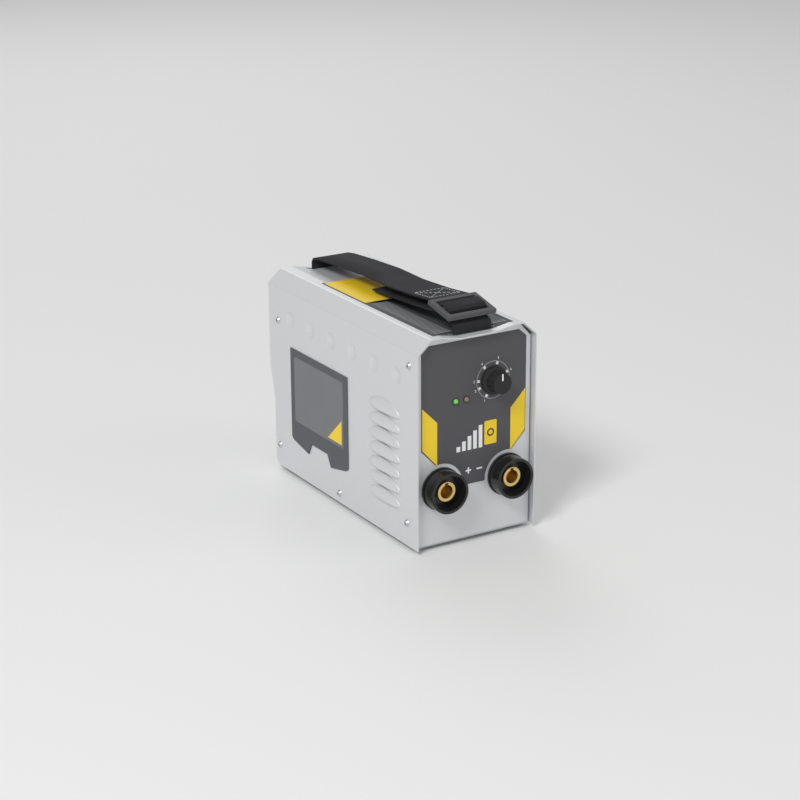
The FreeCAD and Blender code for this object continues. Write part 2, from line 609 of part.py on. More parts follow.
stud_nuts, ring_nuts = [], []
for name, sign in (("plus", "-"), ("minus", "")):
    x = f"{sign}socket_across"
    node(f"socket_collar_{name}", collar(f"socket_collar_{name}_body", x))
    node(f"socket_insert_{name}", insert(f"socket_insert_{name}_body", x))
    node(f"busbar_{name}", busbar(f"busbar_{name}_body", x))
    ring_nuts.append(tube(f"ring_nut_{name}", (x, "front_back", "socket_z"), "ring_nut_radius",
                          "shank_radius + fit_gap", "ring_nut_thick", ALONG_Y))
    nut = hexagon(f"stud_nut_{name}", (x, "front_back + insert_shoulder + busbar_thick", "socket_z"),
                  "17", "6", ALONG_Y)
    stud_nuts.append(cut(f"stud_nut_{name}_cut", nut,
                         rod(f"stud_nut_{name}_hole", (x, "front_back", "socket_z"),
                             "stud_radius + fit_gap", "insert_shoulder + stud_length + 4", ALONG_Y)))
node("socket_ring_nuts", group("ring_nut_pair", *ring_nuts))
node("socket_stud_nuts", group("stud_nut_pair", *stud_nuts))


# ---------------------------------------------------------------- current dial
KNOB_BACK = "front_face - overlay_thick - knob_gap"
shaft_tip = "front_face - knob_height + 4"
skirt = rod("knob_skirt", ("dial_across", KNOB_BACK, "dial_z"), "skirt_radius", "skirt_thick", TOWARDS_FRONT)
slope = cone("knob_slope", ("dial_across", f"{KNOB_BACK} - skirt_thick", "dial_z"), "skirt_radius",
             "grip_radius", "1.6", TOWARDS_FRONT)
grip = cone("knob_grip", ("dial_across", f"{KNOB_BACK} - skirt_thick", "dial_z"), "grip_radius",
            "grip_radius * 0.93", f"{KNOB_BACK} - skirt_thick - (front_face - knob_height)", TOWARDS_FRONT)
flutes = []
for i in range(KNOB_FLUTES):
    angle = f"{360 / KNOB_FLUTES * (i + 0.5)} deg"
    flutes.append(rod("knob_flute", (f"dial_across + (grip_radius + 0.7) * sin({angle})",
                                     "front_face - knob_height - 1",
                                     f"dial_z + (grip_radius + 0.7) * cos({angle})"), "1.6",
                      "knob_height - overlay_thick - knob_gap - skirt_thick - 1.6 + 1", ALONG_Y))
knob_recess = rod("knob_recess", ("dial_across", f"{KNOB_BACK} + 1", "dial_z"), "nut_flats / sqrt(3) + 1",
                  "nut_thick + 2.4", TOWARDS_FRONT)
knob_bore = rod("knob_bore", ("dial_across", shaft_tip, "dial_z"), "shaft_radius", "knob_height", ALONG_Y)
pointer_slot = box("knob_pointer_slot", ("dial_across - 0.8", "front_face - knob_height - 1", "dial_z + 3"),
                   ("1.6", "1.6", "grip_radius"))
node("current_knob", cut("knob_body", fuse("knob_blank", skirt, slope, grip), *flutes, knob_recess,
                         knob_bore, pointer_slot))
node("knob_pointer", box("pointer_strip", ("dial_across - 0.8", "front_face - knob_height", "dial_z + 3"),
                         ("1.6", "0.6", "grip_radius * 0.93 - 3.3")))
node("dial_shaft", rod("dial_shaft_rod", ("dial_across", shaft_tip, "dial_z"), "shaft_radius",
                       f"front_back + pot_depth - 2 - ({shaft_tip})", ALONG_Y))

pot_case = fuse("pot_case", rod("pot_drum", ("dial_across", "front_back", "dial_z"), "pot_radius",
                                "pot_depth", ALONG_Y),
                rod("pot_bushing", ("dial_across", "front_face - overlay_thick - nut_thick - 0.2", "dial_z"),
                    "bushing_radius", "wall + overlay_thick + nut_thick + 1", ALONG_Y),
                *[box("pot_pin", (f"dial_across + {5 * i} - 0.5", "front_back + pot_depth - 1", "dial_z - 3"),
                      ("1", "control_face - front_back - pot_depth + 1", "1")) for i in (-1, 0, 1)])
node("dial_potentiometer", cut("pot_body", pot_case,
                               rod("pot_bore", ("dial_across", "front_face - 6", "dial_z"),
                                   "shaft_radius + fit_gap", "6 + wall + pot_depth - 1.5", ALONG_Y)))
node("potentiometer_nut", cut("pot_nut", hexagon("pot_nut_blank", ("dial_across", "front_face", "dial_z"),
                                                 "nut_flats", "nut_thick", TOWARDS_FRONT),
                              rod("pot_nut_hole", ("dial_across", "front_face - 4", "dial_z"),
                                  "bushing_radius + fit_gap", "6", ALONG_Y)))


def led(name, x):
    lens = doc.addObject("Part::Sphere", f"{name}_dome")
    bind(lens, Radius="led_radius")
    place(lens, x, "front_face - overlay_thick", "led_z")
    lens_front = common(f"{name}_front", lens, rod(f"{name}_limit", (x, "front_face", "led_z"),
                                                   "led_radius + 1", "led_radius + overlay_thick + 1", TOWARDS_FRONT))
    legs = [box(f"{name}_leg", (f"{x} + {dx} - 0.3", "front_face + 6", "led_z - 0.3"),
                ("0.6", "control_face - front_face - 6", "0.6")) for dx in (-1.27, 1.27)]
    return fuse(name, lens_front,
                rod(f"{name}_stem", (x, "front_face - overlay_thick", "led_z"), "led_radius",
                    "overlay_thick + 6.5", ALONG_Y), *legs)


node("power_led", led("power_led_body", "led_across"))
node("overheat_led", led("overheat_led_body", "led_across + led_pitch"))

CONTROL_SPACERS = [(x, z) for x in ("control_left + spacer_inset", "control_right - spacer_inset")
                   for z in ("dial_z - control_below + spacer_inset", "dial_z + control_above - spacer_inset")]
node("control_board", cut("control_board_body",
                          box("control_sheet", ("control_left", "control_face", "dial_z - control_below"),
                              ("control_right - control_left", "board_thick", "control_above + control_below")),
                          *[rod("control_hole", (x, "control_face - 1", z), "1.6", "board_thick + 2", ALONG_Y)
                            for x, z in CONTROL_SPACERS]))
node("control_board_spacers", group("control_spacer_set", *[
    fuse("control_spacer", rod("control_spacer_rod", (x, "front_back", z), "spacer_radius", "board_gap", ALONG_Y),
         rod("control_spacer_screw", (x, "front_back + 1", z), "1.5", "board_gap + board_thick", ALONG_Y),
         rod("control_spacer_head", (x, "control_face + board_thick", z), "2.8", "1.8", ALONG_Y))
    for x, z in CONTROL_SPACERS]))
node("control_chip", box("control_chip_block", ("control_left + 18", "control_face + board_thick",
                                                "dial_z - control_below + 40"), ("14", "2", "14")))


# ---------------------------------------------------------------- power board
node("power_board", cut("power_board_body",
                        box("power_sheet", ("-board_half", "board_front", "board_low"),
                            ("2 * board_half", "board_rear - board_front", "board_thick")),
                        *[rod("power_hole", (x, y, "board_low - 1"), "screw_shank + 0.2", "board_thick + 2")
                          for x, y in BOARD_SPACERS]))


def board_spacer(x, y):
    blank = hexagon("power_spacer_hex", (x, y, "base_top"), "2 * screw_shank + 4", "spacer_height")
    return cut("power_spacer", blank, rod("power_spacer_hole", (x, y, "base_top - 1"),
                                          "screw_shank + fit_gap", "spacer_height + 2"))


def board_screw(x, y):
    return fuse("board_screw", rod("board_screw_head", (x, y, "board_top"), "screw_head", "screw_dome"),
                rod("board_screw_shank", (x, y, "board_top + 0.5 - 5"), "screw_shank", "5"))


node("power_board_spacers", group("power_spacer_set", *[board_spacer(x, y) for x, y in BOARD_SPACERS]))
node("power_board_screws", group("power_screw_set", *[board_screw(x, y) for x, y in BOARD_SPACERS]))


def heatsink(name, sign):
    """An extruded comb: an upright plate with fins that run the length of the block."""
    def reach(a, b):
        return (f"-({b})", f"{b} - ({a})") if sign else (a, f"{b} - ({a})")
    low, wide = reach("sink_inner", "sink_inner + sink_plate")
    parts = [box(f"{name}_plate", (low, "sink_front", "board_top"), (wide, "sink_rear - sink_front", "sink_height"))]
    low, wide = reach("sink_inner + sink_plate / 2", "sink_reach")
    for i in range(FINS):
        parts.append(box(f"{name}_fin", (low, "sink_front",
                                         f"board_top + (sink_height - fin_thick) * {i / (FINS - 1)}"),
                         (wide, "sink_rear - sink_front", "fin_thick")))
    return fuse(name, *parts)


def device(name, sign, along):
    """A three-legged power package, its back against the heatsink's plate."""
    def span(a, b):
        return (f"-({b})", f"{b} - ({a})") if sign else (a, f"{b} - ({a})")
    low, wide = span("sink_inner - device_thick", "sink_inner")
    body = box(f"{name}_block", (low, f"{along} - device_width / 2", "board_top + device_lift"),
               (wide, "device_width", "device_height"))
    low, wide = span("sink_inner - device_thick / 2 - 0.4", "sink_inner - device_thick / 2 + 0.4")
    legs = [box(f"{name}_leg", (low, f"{along} + {5.4 * i} - 0.6", "board_top"),
                (wide, "1.2", "device_lift + 1")) for i in (-1, 0, 1)]
    return fuse(name, body, *legs)


DEVICE_PLACES = [f"sink_front + (sink_rear - sink_front) * {share}" for share in (0.14, 0.38, 0.62, 0.86)]
for side_name, sign, heat_name, device_name in (("left", "-", "primary", "power_transistors"),
                                                ("right", "", "output", "output_diodes")):
    node(f"heatsink_{heat_name}", heatsink(f"heatsink_{heat_name}_body", sign))
    node(device_name, group(f"{device_name}_set", *[device(f"{device_name}_{i}", sign, y)
                                                    for i, y in enumerate(DEVICE_PLACES)]))
node("bridge_rectifier", box("bridge_block", ("-sink_inner", "sink_front + 12",
                                              "board_top + device_lift + device_height + 2"),
                             ("8", "28", "22")))


# ---------------------------------------------------------------- transformer
def core_half(name, upper):
    """One E of ferrite: a yoke with a centre leg and two outer legs."""
    mid = "board_top + coil_gap + core_height / 2"
    low, high = (mid, "board_top + coil_gap + core_height") if upper else ("board_top + coil_gap", mid)
    yoke = f"({high}) - outer_leg" if upper else f"({low}) + outer_leg"
    outer, window = "core_width / 2", "core_width / 2 - outer_leg"
    far, near = (high, low) if upper else (low, high)
    half = [(outer, far), (outer, near), (window, near), (window, yoke), ("leg_width / 2", yoke),
            ("leg_width / 2", near)]
    corners = [(f"core_across + {a}", u) for a, u in half]
    corners += [(f"core_across - ({a})", u) for a, u in reversed(half)]
    return plate(name, "XZ_Plane", corners, "-(core_middle + core_depth / 2)", "core_depth")


def coil(name, inner, outer):
    """A rectangular winding round the centre leg."""
    low = "board_top + 2 * coil_gap + outer_leg"
    tall = "core_height - 2 * outer_leg - 2 * coil_gap"
    def ring_box(tag, grow):
        across = f"(leg_width / 2 + {grow})"
        along = f"(core_depth / 2 + {grow})"
        return box(f"{name}_{tag}", (f"core_across - {across}", f"core_middle - {along}", low),
                   (f"2 * {across}", f"2 * {along}", tall))
    return cut(name, ring_box("outer", outer), ring_box("inner", inner))


node("transformer_core_lower", core_half("core_lower_body", False))
node("transformer_core_upper", core_half("core_upper_body", True))
node("primary_winding", coil("primary_winding_body", "coil_gap", "coil_gap + coil_layer"))
node("secondary_winding", coil("secondary_winding_body", "2 * coil_gap + coil_layer",
                               "2 * coil_gap + 2 * coil_layer"))
CHOKE_LOW = "board_top + coil_gap + choke_wire"
node("choke_core", tube("choke_core_body", ("choke_across", "choke_middle", CHOKE_LOW), "choke_outer",
                        "choke_inner", "choke_height"))


def choke_turn(i):
    """One turn of wire, a rectangular loop round the ring's section."""
    loop = cut("choke_turn_loop",
               box("choke_turn_outer", ("choke_inner - coil_gap - choke_wire", "-choke_wire / 2",
                                        "-coil_gap - choke_wire"),
                   ("choke_outer - choke_inner + 2 * coil_gap + 2 * choke_wire", "choke_wire",
                    "choke_height + 2 * coil_gap + 2 * choke_wire")),
               box("choke_turn_inner", ("choke_inner - coil_gap", "-choke_wire", "-coil_gap"),
                   ("choke_outer - choke_inner + 2 * coil_gap", "2 * choke_wire",
                    "choke_height + 2 * coil_gap")))
    return place(loop, "choke_across", "choke_middle", CHOKE_LOW,
                 turn=Rotation(Vector(0, 0, 1), 360 / CHOKE_TURNS * i))


node("choke_winding", group("choke_turns", *[choke_turn(i) for i in range(CHOKE_TURNS)]))
node("bulk_capacitors", group("capacitor_row", *[
    rod(f"capacitor_{i}", ("can_across", f"board_front + can_along + can_pitch * {i}", "board_top"), "can_radius", "can_height")
    for i in range(3)]))
node("inrush_relay", box("relay_block", ("relay_across - relay_width / 2", "board_front + relay_along - relay_length / 2",
                                         "board_top"), ("relay_width", "relay_length", "relay_height")))


# ---------------------------------------------------------------- fan
FAN_BACK = "rear_back"
FAN_FRONT = "rear_back - fan_depth"
FAN_CORNERS = [(f"{sx}fan_screw_pitch", f"fan_z {sz} fan_screw_pitch") for sx in ("-", "") for sz in "-+"]
fan_square = box("fan_square", ("-fan_size / 2", FAN_FRONT, "fan_z - fan_size / 2"),
                 ("fan_size", "fan_depth", "fan_size"))
fan_open = cut("fan_open", fan_square, rod("fan_tunnel", ("0", f"{FAN_FRONT} - 1", "fan_z"), "fan_bore",
                                           "fan_depth + 2", ALONG_Y),
               *[rod("fan_corner_hole", (x, f"{FAN_FRONT} - 1", z), "2.1", "fan_depth + 2", ALONG_Y)
                 for x, z in FAN_CORNERS])
spokes = []
for turn in (0, 120, 240):
    spoke = box("fan_spoke", ("-fan_web / 2", "0", "fan_hub - 3"), ("fan_web", "fan_web", "fan_bore - fan_hub + 4"))
    spoke.Placement = Placement(Vector(), Rotation(Vector(0, 1, 0), turn))
    angle = f"{turn} deg"
    place(spoke, f"-fan_web / 2 * cos({angle}) + (fan_hub - 3) * sin({angle})", FAN_FRONT,
          f"fan_z + fan_web / 2 * sin({angle}) + (fan_hub - 3) * cos({angle})")
    spokes.append(spoke)
motor_plate = rod("fan_motor_plate", ("0", FAN_FRONT, "fan_z"), "fan_hub", "fan_web", ALONG_Y)
motor_axle = rod("fan_axle", ("0", FAN_FRONT, "fan_z"), "1.5", "fan_depth - 6", ALONG_Y)
node("fan_frame", fuse("fan_frame_body", fan_open, motor_plate, motor_axle, *spokes))


def fan_rotor():
    """A hub on the axle with twisted blades, clear of the tunnel."""
    start = f"{FAN_FRONT} + fan_web + fan_gap"
    hub = rod("rotor_hub", ("0", start, "fan_z"), "fan_hub", "fan_depth - fan_web - 2 * fan_gap - 1", ALONG_Y)
    blades = []
    for i in range(FAN_BLADES):
        turn = 360 / FAN_BLADES * i
        blade = box("rotor_blade", ("0", "0", "0"), ("1.6", "fan_depth - fan_web - 2 * fan_gap - 6",
                                                     "fan_bore - fan_gap - 3"))
        lean = Rotation(Vector(0, 1, 0), turn).multiply(Rotation(Vector(0, 0, 1), 35))
        blade.Placement = Placement(Vector(), lean)
        place(blade, f"3 * sin({turn} deg)", f"{start} + 3", f"fan_z + 3 * cos({turn} deg)")
        blades.append(blade)
    limit = rod("rotor_limit", ("0", start, "fan_z"), "fan_bore - fan_gap",
                "fan_depth - fan_web - 2 * fan_gap - 1", ALONG_Y)
    return cut("fan_rotor_body", common("rotor_trimmed", fuse("rotor_blank", hub, *blades), limit),
               rod("rotor_bore", ("0", f"{start} - 1", "fan_z"), "1.5 + fit_gap", "fan_depth - 9", ALONG_Y))


node("fan_rotor", fan_rotor())
node("fan_screws", group("fan_screw_set", *[
    fuse("fan_screw", rod("fan_screw_head", (x, "rear_face", z), "screw_head", "screw_dome", ALONG_Y),
         rod("fan_screw_shank", (x, f"{FAN_FRONT} + 8", z), "screw_shank", "rear_face - (rear_back - fan_depth) - 8",
             ALONG_Y)) for x, z in FAN_CORNERS]))


# ---------------------------------------------------------------- rear panel
rear_drills = [box("switch_window", ("switch_across - switch_width / 2 + 1.5", "rear_back - 1",
                                     "switch_z - switch_tall / 2 + 1.5"),
                   ("switch_width - 3", "wall + 2", "switch_tall - 3")),
               rod("gland_hole", ("gland_across", "rear_back - 1", "gland_z"),
                   "gland_shank + fit_gap", "wall + 2", ALONG_Y),
               rod("grille_centre", ("0", "rear_back - 1", "fan_z"), "grille_hole", "wall + 2", ALONG_Y)]
for ring in range(1, GRILLE_RINGS + 1):
    for i in range(6 * ring):
        angle = f"{60 / ring * i} deg"
        rear_drills.append(rod("grille_round", (f"grille_pitch * {ring} * sin({angle})", "rear_back - 1",
                                                f"fan_z + grille_pitch * {ring} * cos({angle})"),
                               "grille_hole", "wall + 2", ALONG_Y))
rear_drills += [rod("fan_screw_clearance", (x, "rear_back - 1", z), "screw_shank + 0.2", "wall + 2", ALONG_Y)
                for x, z in FAN_CORNERS]
rear_drills += [side_hole(f"rear_screw_hole_{n}", s, along, up, "screw_shank + fit_gap", "6 * wall")
                for n, s, outward in SIDES for along, up in [REAR_SCREW]]
rear_drills += [rod("rear_lip_hole", (x, y, "floor"), "screw_shank + fit_gap", "base_thick + 2 * wall")
                for x, y in LIP_SCREWS if "rear_back" in y]
node("rear_panel", panel("rear_panel", "rear_face", "rear_back", -1, rear_drills, "base_top"))


# ---------------------------------------------------------------- power switch
def switch_box(name, grow_x, grow_z, start, deep):
    return box(name, (f"switch_across - switch_width / 2 + {grow_x}", start,
                      f"switch_z - switch_tall / 2 + {grow_z}"),
               (f"switch_width - 2 * {grow_x}", deep, f"switch_tall - 2 * {grow_z}"))


ROCKER_AXIS = "rear_face - 2"
switch_case = fuse("switch_case", switch_box("switch_rim", "0", "0", "rear_face", "switch_flange"),
                   switch_box("switch_tub", "1.7", "1.7", "rear_face - switch_depth", "switch_depth"),
                   *[box("switch_blade", (f"switch_across + {dx} - 3", "rear_face - switch_depth - 8",
                                          f"switch_z + {dz}"), ("6", "9", "0.8"))
                     for dx in (-6, 6) for dz in (-6, 5)])
switch_well = box("switch_well", ("switch_across - rocker_width / 2 - 0.4", "rear_face - 9",
                                  "switch_z - rocker_tall / 2 - 0.9"),
                  ("rocker_width + 0.8", "9 + switch_flange + 1", "rocker_tall + 1.8"))
pin = rod("switch_pin", ("switch_across - rocker_width / 2 - 1", ROCKER_AXIS, "switch_z"), "1.2",
          "rocker_width + 2", ALONG_X)
node("switch_body", fuse("switch_body_shape", cut("switch_hollow", switch_case, switch_well), pin))


def rocker():
    """A wedge-faced rocker on the switch's pin, resting with its upper end pressed in."""
    drum = rod("rocker_drum", ("0", "0", "0"), "rocker_tall / 2", "rocker_width", ALONG_X)
    face = box("rocker_face", ("0", "-1", "-rocker_tall / 2"), ("rocker_width", "switch_flange + 5", "rocker_tall"))
    blank = common("rocker_blank", fuse("rocker_solid", drum, face),
                   box("rocker_limit", ("-1", "-5", "-rocker_tall / 2"),
                       ("rocker_width + 2", "switch_flange + 9", "rocker_tall")))
    scoop = rod("rocker_scoop", ("-1", "switch_flange + 4 + rocker_tall * 1.6", "0"), "rocker_tall * 1.6 + 1.2",
                "rocker_width + 2", ALONG_X)
    shape = cut("rocker_shape", blank, scoop, rod("rocker_bore", ("-1", "0", "0"), "1.2 + fit_gap",
                                                  "rocker_width + 2", ALONG_X))
    return place(shape, "switch_across - rocker_width / 2", ROCKER_AXIS, "switch_z",
                 turn=Rotation(Vector(1, 0, 0), SIZES["rocker_tilt"]))


node("switch_rocker", rocker())


# ---------------------------------------------------------------- cable inlet
GLAND = ("gland_across", "gland_z")


def gland_rod(name, start, radius, length):
    return rod(name, (GLAND[0], start, GLAND[1]), radius, length, ALONG_Y)


gland_end = "tail + socket_reach"
gland_neck = "rear_face + 6"
node("gland_body", cut("gland_body_shape",
                       fuse("gland_blank", hexagon("gland_hex", (GLAND[0], "rear_face", GLAND[1]), "gland_flats",
                                                   "6", ALONG_Y),
                            gland_rod("gland_thread", "rear_back - gland_tail", "gland_shank",
                                      "rear_face - rear_back + gland_tail + 1"),
                            gland_rod("gland_spigot", gland_neck, "gland_seal - 0.6", "4")),
                       gland_rod("gland_way", "rear_back - gland_tail - 1", "gland_bore", "gland_tail + 20")))
node("gland_seal", tube("gland_seal_ring", (GLAND[0], "rear_face + 10", GLAND[1]), "gland_seal - 0.6",
                        "gland_bore", f"{gland_end} - 4 - (rear_face + 10)", ALONG_Y))
node("gland_nut", cut("gland_nut_shape",
                      fuse("gland_nut_blank",
                           gland_rod("gland_nut_skirt", gland_neck, "cable_nut_radius",
                                     f"{gland_end} - 8 - ({gland_neck})"),
                           cone("gland_nut_dome", (GLAND[0], f"{gland_end} - 8", GLAND[1]), "cable_nut_radius",
                                "gland_seal - 1", "8", ALONG_Y)),
                      gland_rod("gland_nut_room", f"{gland_neck} - 1", "gland_seal - 0.6 + fit_gap",
                                f"{gland_end} - 4 + fit_gap + 1 - ({gland_neck})"),
                      gland_rod("gland_nut_way", gland_neck, "gland_bore", "30")))
node("gland_locknut", cut("gland_locknut_shape",
                          hexagon("gland_locknut_hex", (GLAND[0], "rear_back - 5", GLAND[1]), "gland_flats", "5",
                                  ALONG_Y),
                          gland_rod("gland_locknut_hole", "rear_back - 6", "gland_shank + fit_gap", "7")))


# ---------------------------------------------------------------- carrying strap
def band(name, route, hem):
    """Webbing bent along a route in the YZ plane, hemmed round an anchor rod below its slot."""
    floor = float(sheet.foot_height)
    half = float(sheet.strap_thick) / 2
    width = float(sheet.strap_width)
    left = float(sheet.strap_across) - width / 2
    points = [Vector(left, along, floor + up) for along, up in route]
    ribbon = Part.makePolygon(points).makeOffset2D(half, 0, False, False, False)
    strip = Part.Face(ribbon).extrude(Vector(width, 0, 0))
    hem_y, hem_z, rod_radius = hem
    outer = rod_radius + float(sheet.hem_gap) + 2 * half
    ring = Part.makeCylinder(outer, width, Vector(left, hem_y, hem_z), Vector(1, 0, 0))
    core = Part.makeCylinder(outer - 2 * half, width, Vector(left, hem_y, hem_z), Vector(1, 0, 0))
    feature = doc.addObject("Part::Feature", name)
    feature.Shape = strip.fuse(ring).cut(core).removeSplitter()
    return feature


underside = float(sheet.cover_height - sheet.trough_drop - sheet.wall)
hem_up = underside - float(2 * sheet.hem_gap + sheet.rod_radius + sheet.strap_thick)
front_y = float(-sheet.cover_length / 2 + sheet.front_slot_land + sheet.slot_width / 2)
rear_y = float(sheet.cover_length / 2 - sheet.rear_slot_land - sheet.slot_width / 2)
rod_r = float(sheet.rod_radius)
crown_up = float(sheet.cover_height)
hem_top = hem_up + rod_r + float(sheet.hem_gap)
floor_z = float(sheet.foot_height)
buckle_y = float(-sheet.cover_length / 2 + sheet.buckle_inset)
buckle_z = crown_up + float(sheet.buckle_rise)
pitch = (float(sheet.buckle_length) - float(sheet.buckle_bar)) / 2
tilt = Rotation(Vector(1, 0, 0), float(sheet.buckle_tilt))


def on_buckle(along, up):
    """A place given along the buckle's tilted frame, forward from its rear bar."""
    spot = tilt.multVec(Vector(0, -along, up))
    return (buckle_y + spot.y, buckle_z + spot.z)


STRAP_RISE = ((0.24, 12), (0.45, 14.3), (0.64, 13.8), (0.84, 16.4), (0.94, 18.6))
TAIL_RISE = ((0.84, 7.5), (0.66, 5), (0.52, 4))


def between(rises):
    """Places a share of the way from the rear slot to the buckle, each at its height over the cover."""
    return [(rear_y + share * (buckle_y - rear_y), crown_up + up) for share, up in rises]


rear_route = [(rear_y, hem_top), (rear_y, crown_up + 3), (rear_y - 2.5, crown_up + 7.2),
              (rear_y - 14, crown_up + 9), *between(STRAP_RISE),
              on_buckle(-float(sheet.buckle_bar) / 2 - float(sheet.strap_thick), 0)]
front_route = [(front_y, hem_top), (front_y, crown_up + 4), on_buckle(1.5 * pitch + 0.5, -6),
               on_buckle(1.5 * pitch, 2), on_buckle(1.5 * pitch - 2.5, float(sheet.buckle_thick) / 2 + 1.6),
               on_buckle(0.5 * pitch + 2.5, float(sheet.buckle_thick) / 2 + 1.6),
               on_buckle(0.5 * pitch, 0), on_buckle(0.5 * pitch - 1, -6), on_buckle(-6, -10),
               *between(TAIL_RISE)]
node("strap_rear", band("strap_rear_band", rear_route, (rear_y, floor_z + hem_up, rod_r)))
node("strap_front", band("strap_front_band", front_route, (front_y, floor_z + hem_up, rod_r)))
node("strap_anchor_rods", group("anchor_rod_pair", *[
    rod(f"anchor_rod_{name}", ("strap_across - strap_width / 2 - 4", y, "hem_z"), "rod_radius",
        "strap_width + 8", ALONG_X) for name, y in (("front", "front_slot"), ("rear", "rear_slot"))]))


def buckle():
    """A tri-glide: an oblong frame with two windows either side of a centre bar."""
    frame = box("buckle_frame", ("-buckle_width / 2", "-buckle_length + buckle_bar / 2", "-buckle_thick / 2"),
                ("buckle_width", "buckle_length", "buckle_thick"))
    window_long = "(buckle_length - 3 * buckle_bar) / 2"
    windows = [box(f"buckle_window_{i}",
                   ("-buckle_width / 2 + buckle_bar",
                    f"-buckle_bar / 2 - {window_long} - {i} * ({window_long} + buckle_bar)", "-buckle_thick"),
                   ("buckle_width - 2 * buckle_bar", window_long, "2 * buckle_thick")) for i in (0, 1)]
    shape = cut("buckle_shape", frame, *windows)
    shape.Placement = Placement(Vector(), tilt)
    return place(shape, "strap_across", "nose + buckle_inset", "crown + buckle_rise")


node("strap_buckle", buckle())

# ---------------------------------------------------------------- checks and files
doc.recompute()
for obj in doc.Objects:
    if "Invalid" in obj.State or "Error" in obj.State:
        raise RuntimeError(f"{obj.Name} failed: {obj.State}")
for name, obj in nodes.items():
    if obj.Shape.isNull() or not obj.Shape.isValid() or not obj.Shape.Solids:
        raise RuntimeError(f"{name} has no valid solid")
os.makedirs("parts", exist_ok=True)
for name, obj in nodes.items():
    obj.Shape.exportStep(f"parts/{name}.step")
    print(f"{name}: {len(obj.Shape.Solids)} solids, {obj.Shape.Volume / 1000:.2f} cm3")
print(len(nodes), "nodes")
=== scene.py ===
import json
import math

import bmesh
import bpy
import numpy as np
from mathutils import Matrix, Vector
from mathutils.bvhtree import BVHTree


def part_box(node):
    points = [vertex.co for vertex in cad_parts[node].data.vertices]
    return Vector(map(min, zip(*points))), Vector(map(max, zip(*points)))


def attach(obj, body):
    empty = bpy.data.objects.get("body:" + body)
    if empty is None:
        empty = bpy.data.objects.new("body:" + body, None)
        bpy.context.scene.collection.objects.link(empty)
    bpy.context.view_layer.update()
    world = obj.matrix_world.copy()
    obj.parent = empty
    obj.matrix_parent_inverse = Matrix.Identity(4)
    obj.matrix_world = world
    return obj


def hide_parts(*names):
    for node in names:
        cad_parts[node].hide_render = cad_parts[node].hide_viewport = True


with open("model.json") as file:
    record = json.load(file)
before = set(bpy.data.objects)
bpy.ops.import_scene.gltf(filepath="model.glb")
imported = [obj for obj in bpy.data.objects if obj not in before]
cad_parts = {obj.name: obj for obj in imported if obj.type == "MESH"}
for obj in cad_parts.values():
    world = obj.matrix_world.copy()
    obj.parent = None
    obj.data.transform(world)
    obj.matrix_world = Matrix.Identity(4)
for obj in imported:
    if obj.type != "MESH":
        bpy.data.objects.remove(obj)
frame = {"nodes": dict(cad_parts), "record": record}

bl_info = {"name": "Stick welder looks", "version": (1, 0, 0), "blender": (4, 5, 0),
           "location": "View3D > Sidebar > Welder", "category": "Object",
           "description": "Finishes, printed marks, webbing and stage of a stick welder"}

MM = 0.001
YELLOW = (0.97, 0.60, 0.004)
WHITE = (0.82, 0.82, 0.82)
FILM_RISE = 0.15 * MM
FILM_SINK = 0.05 * MM

# how far the grain is drawn out along each axis
PLAIN = (1.0, 1.0, 1.0)
BRUSH = (1.0, 0.06, 1.0)
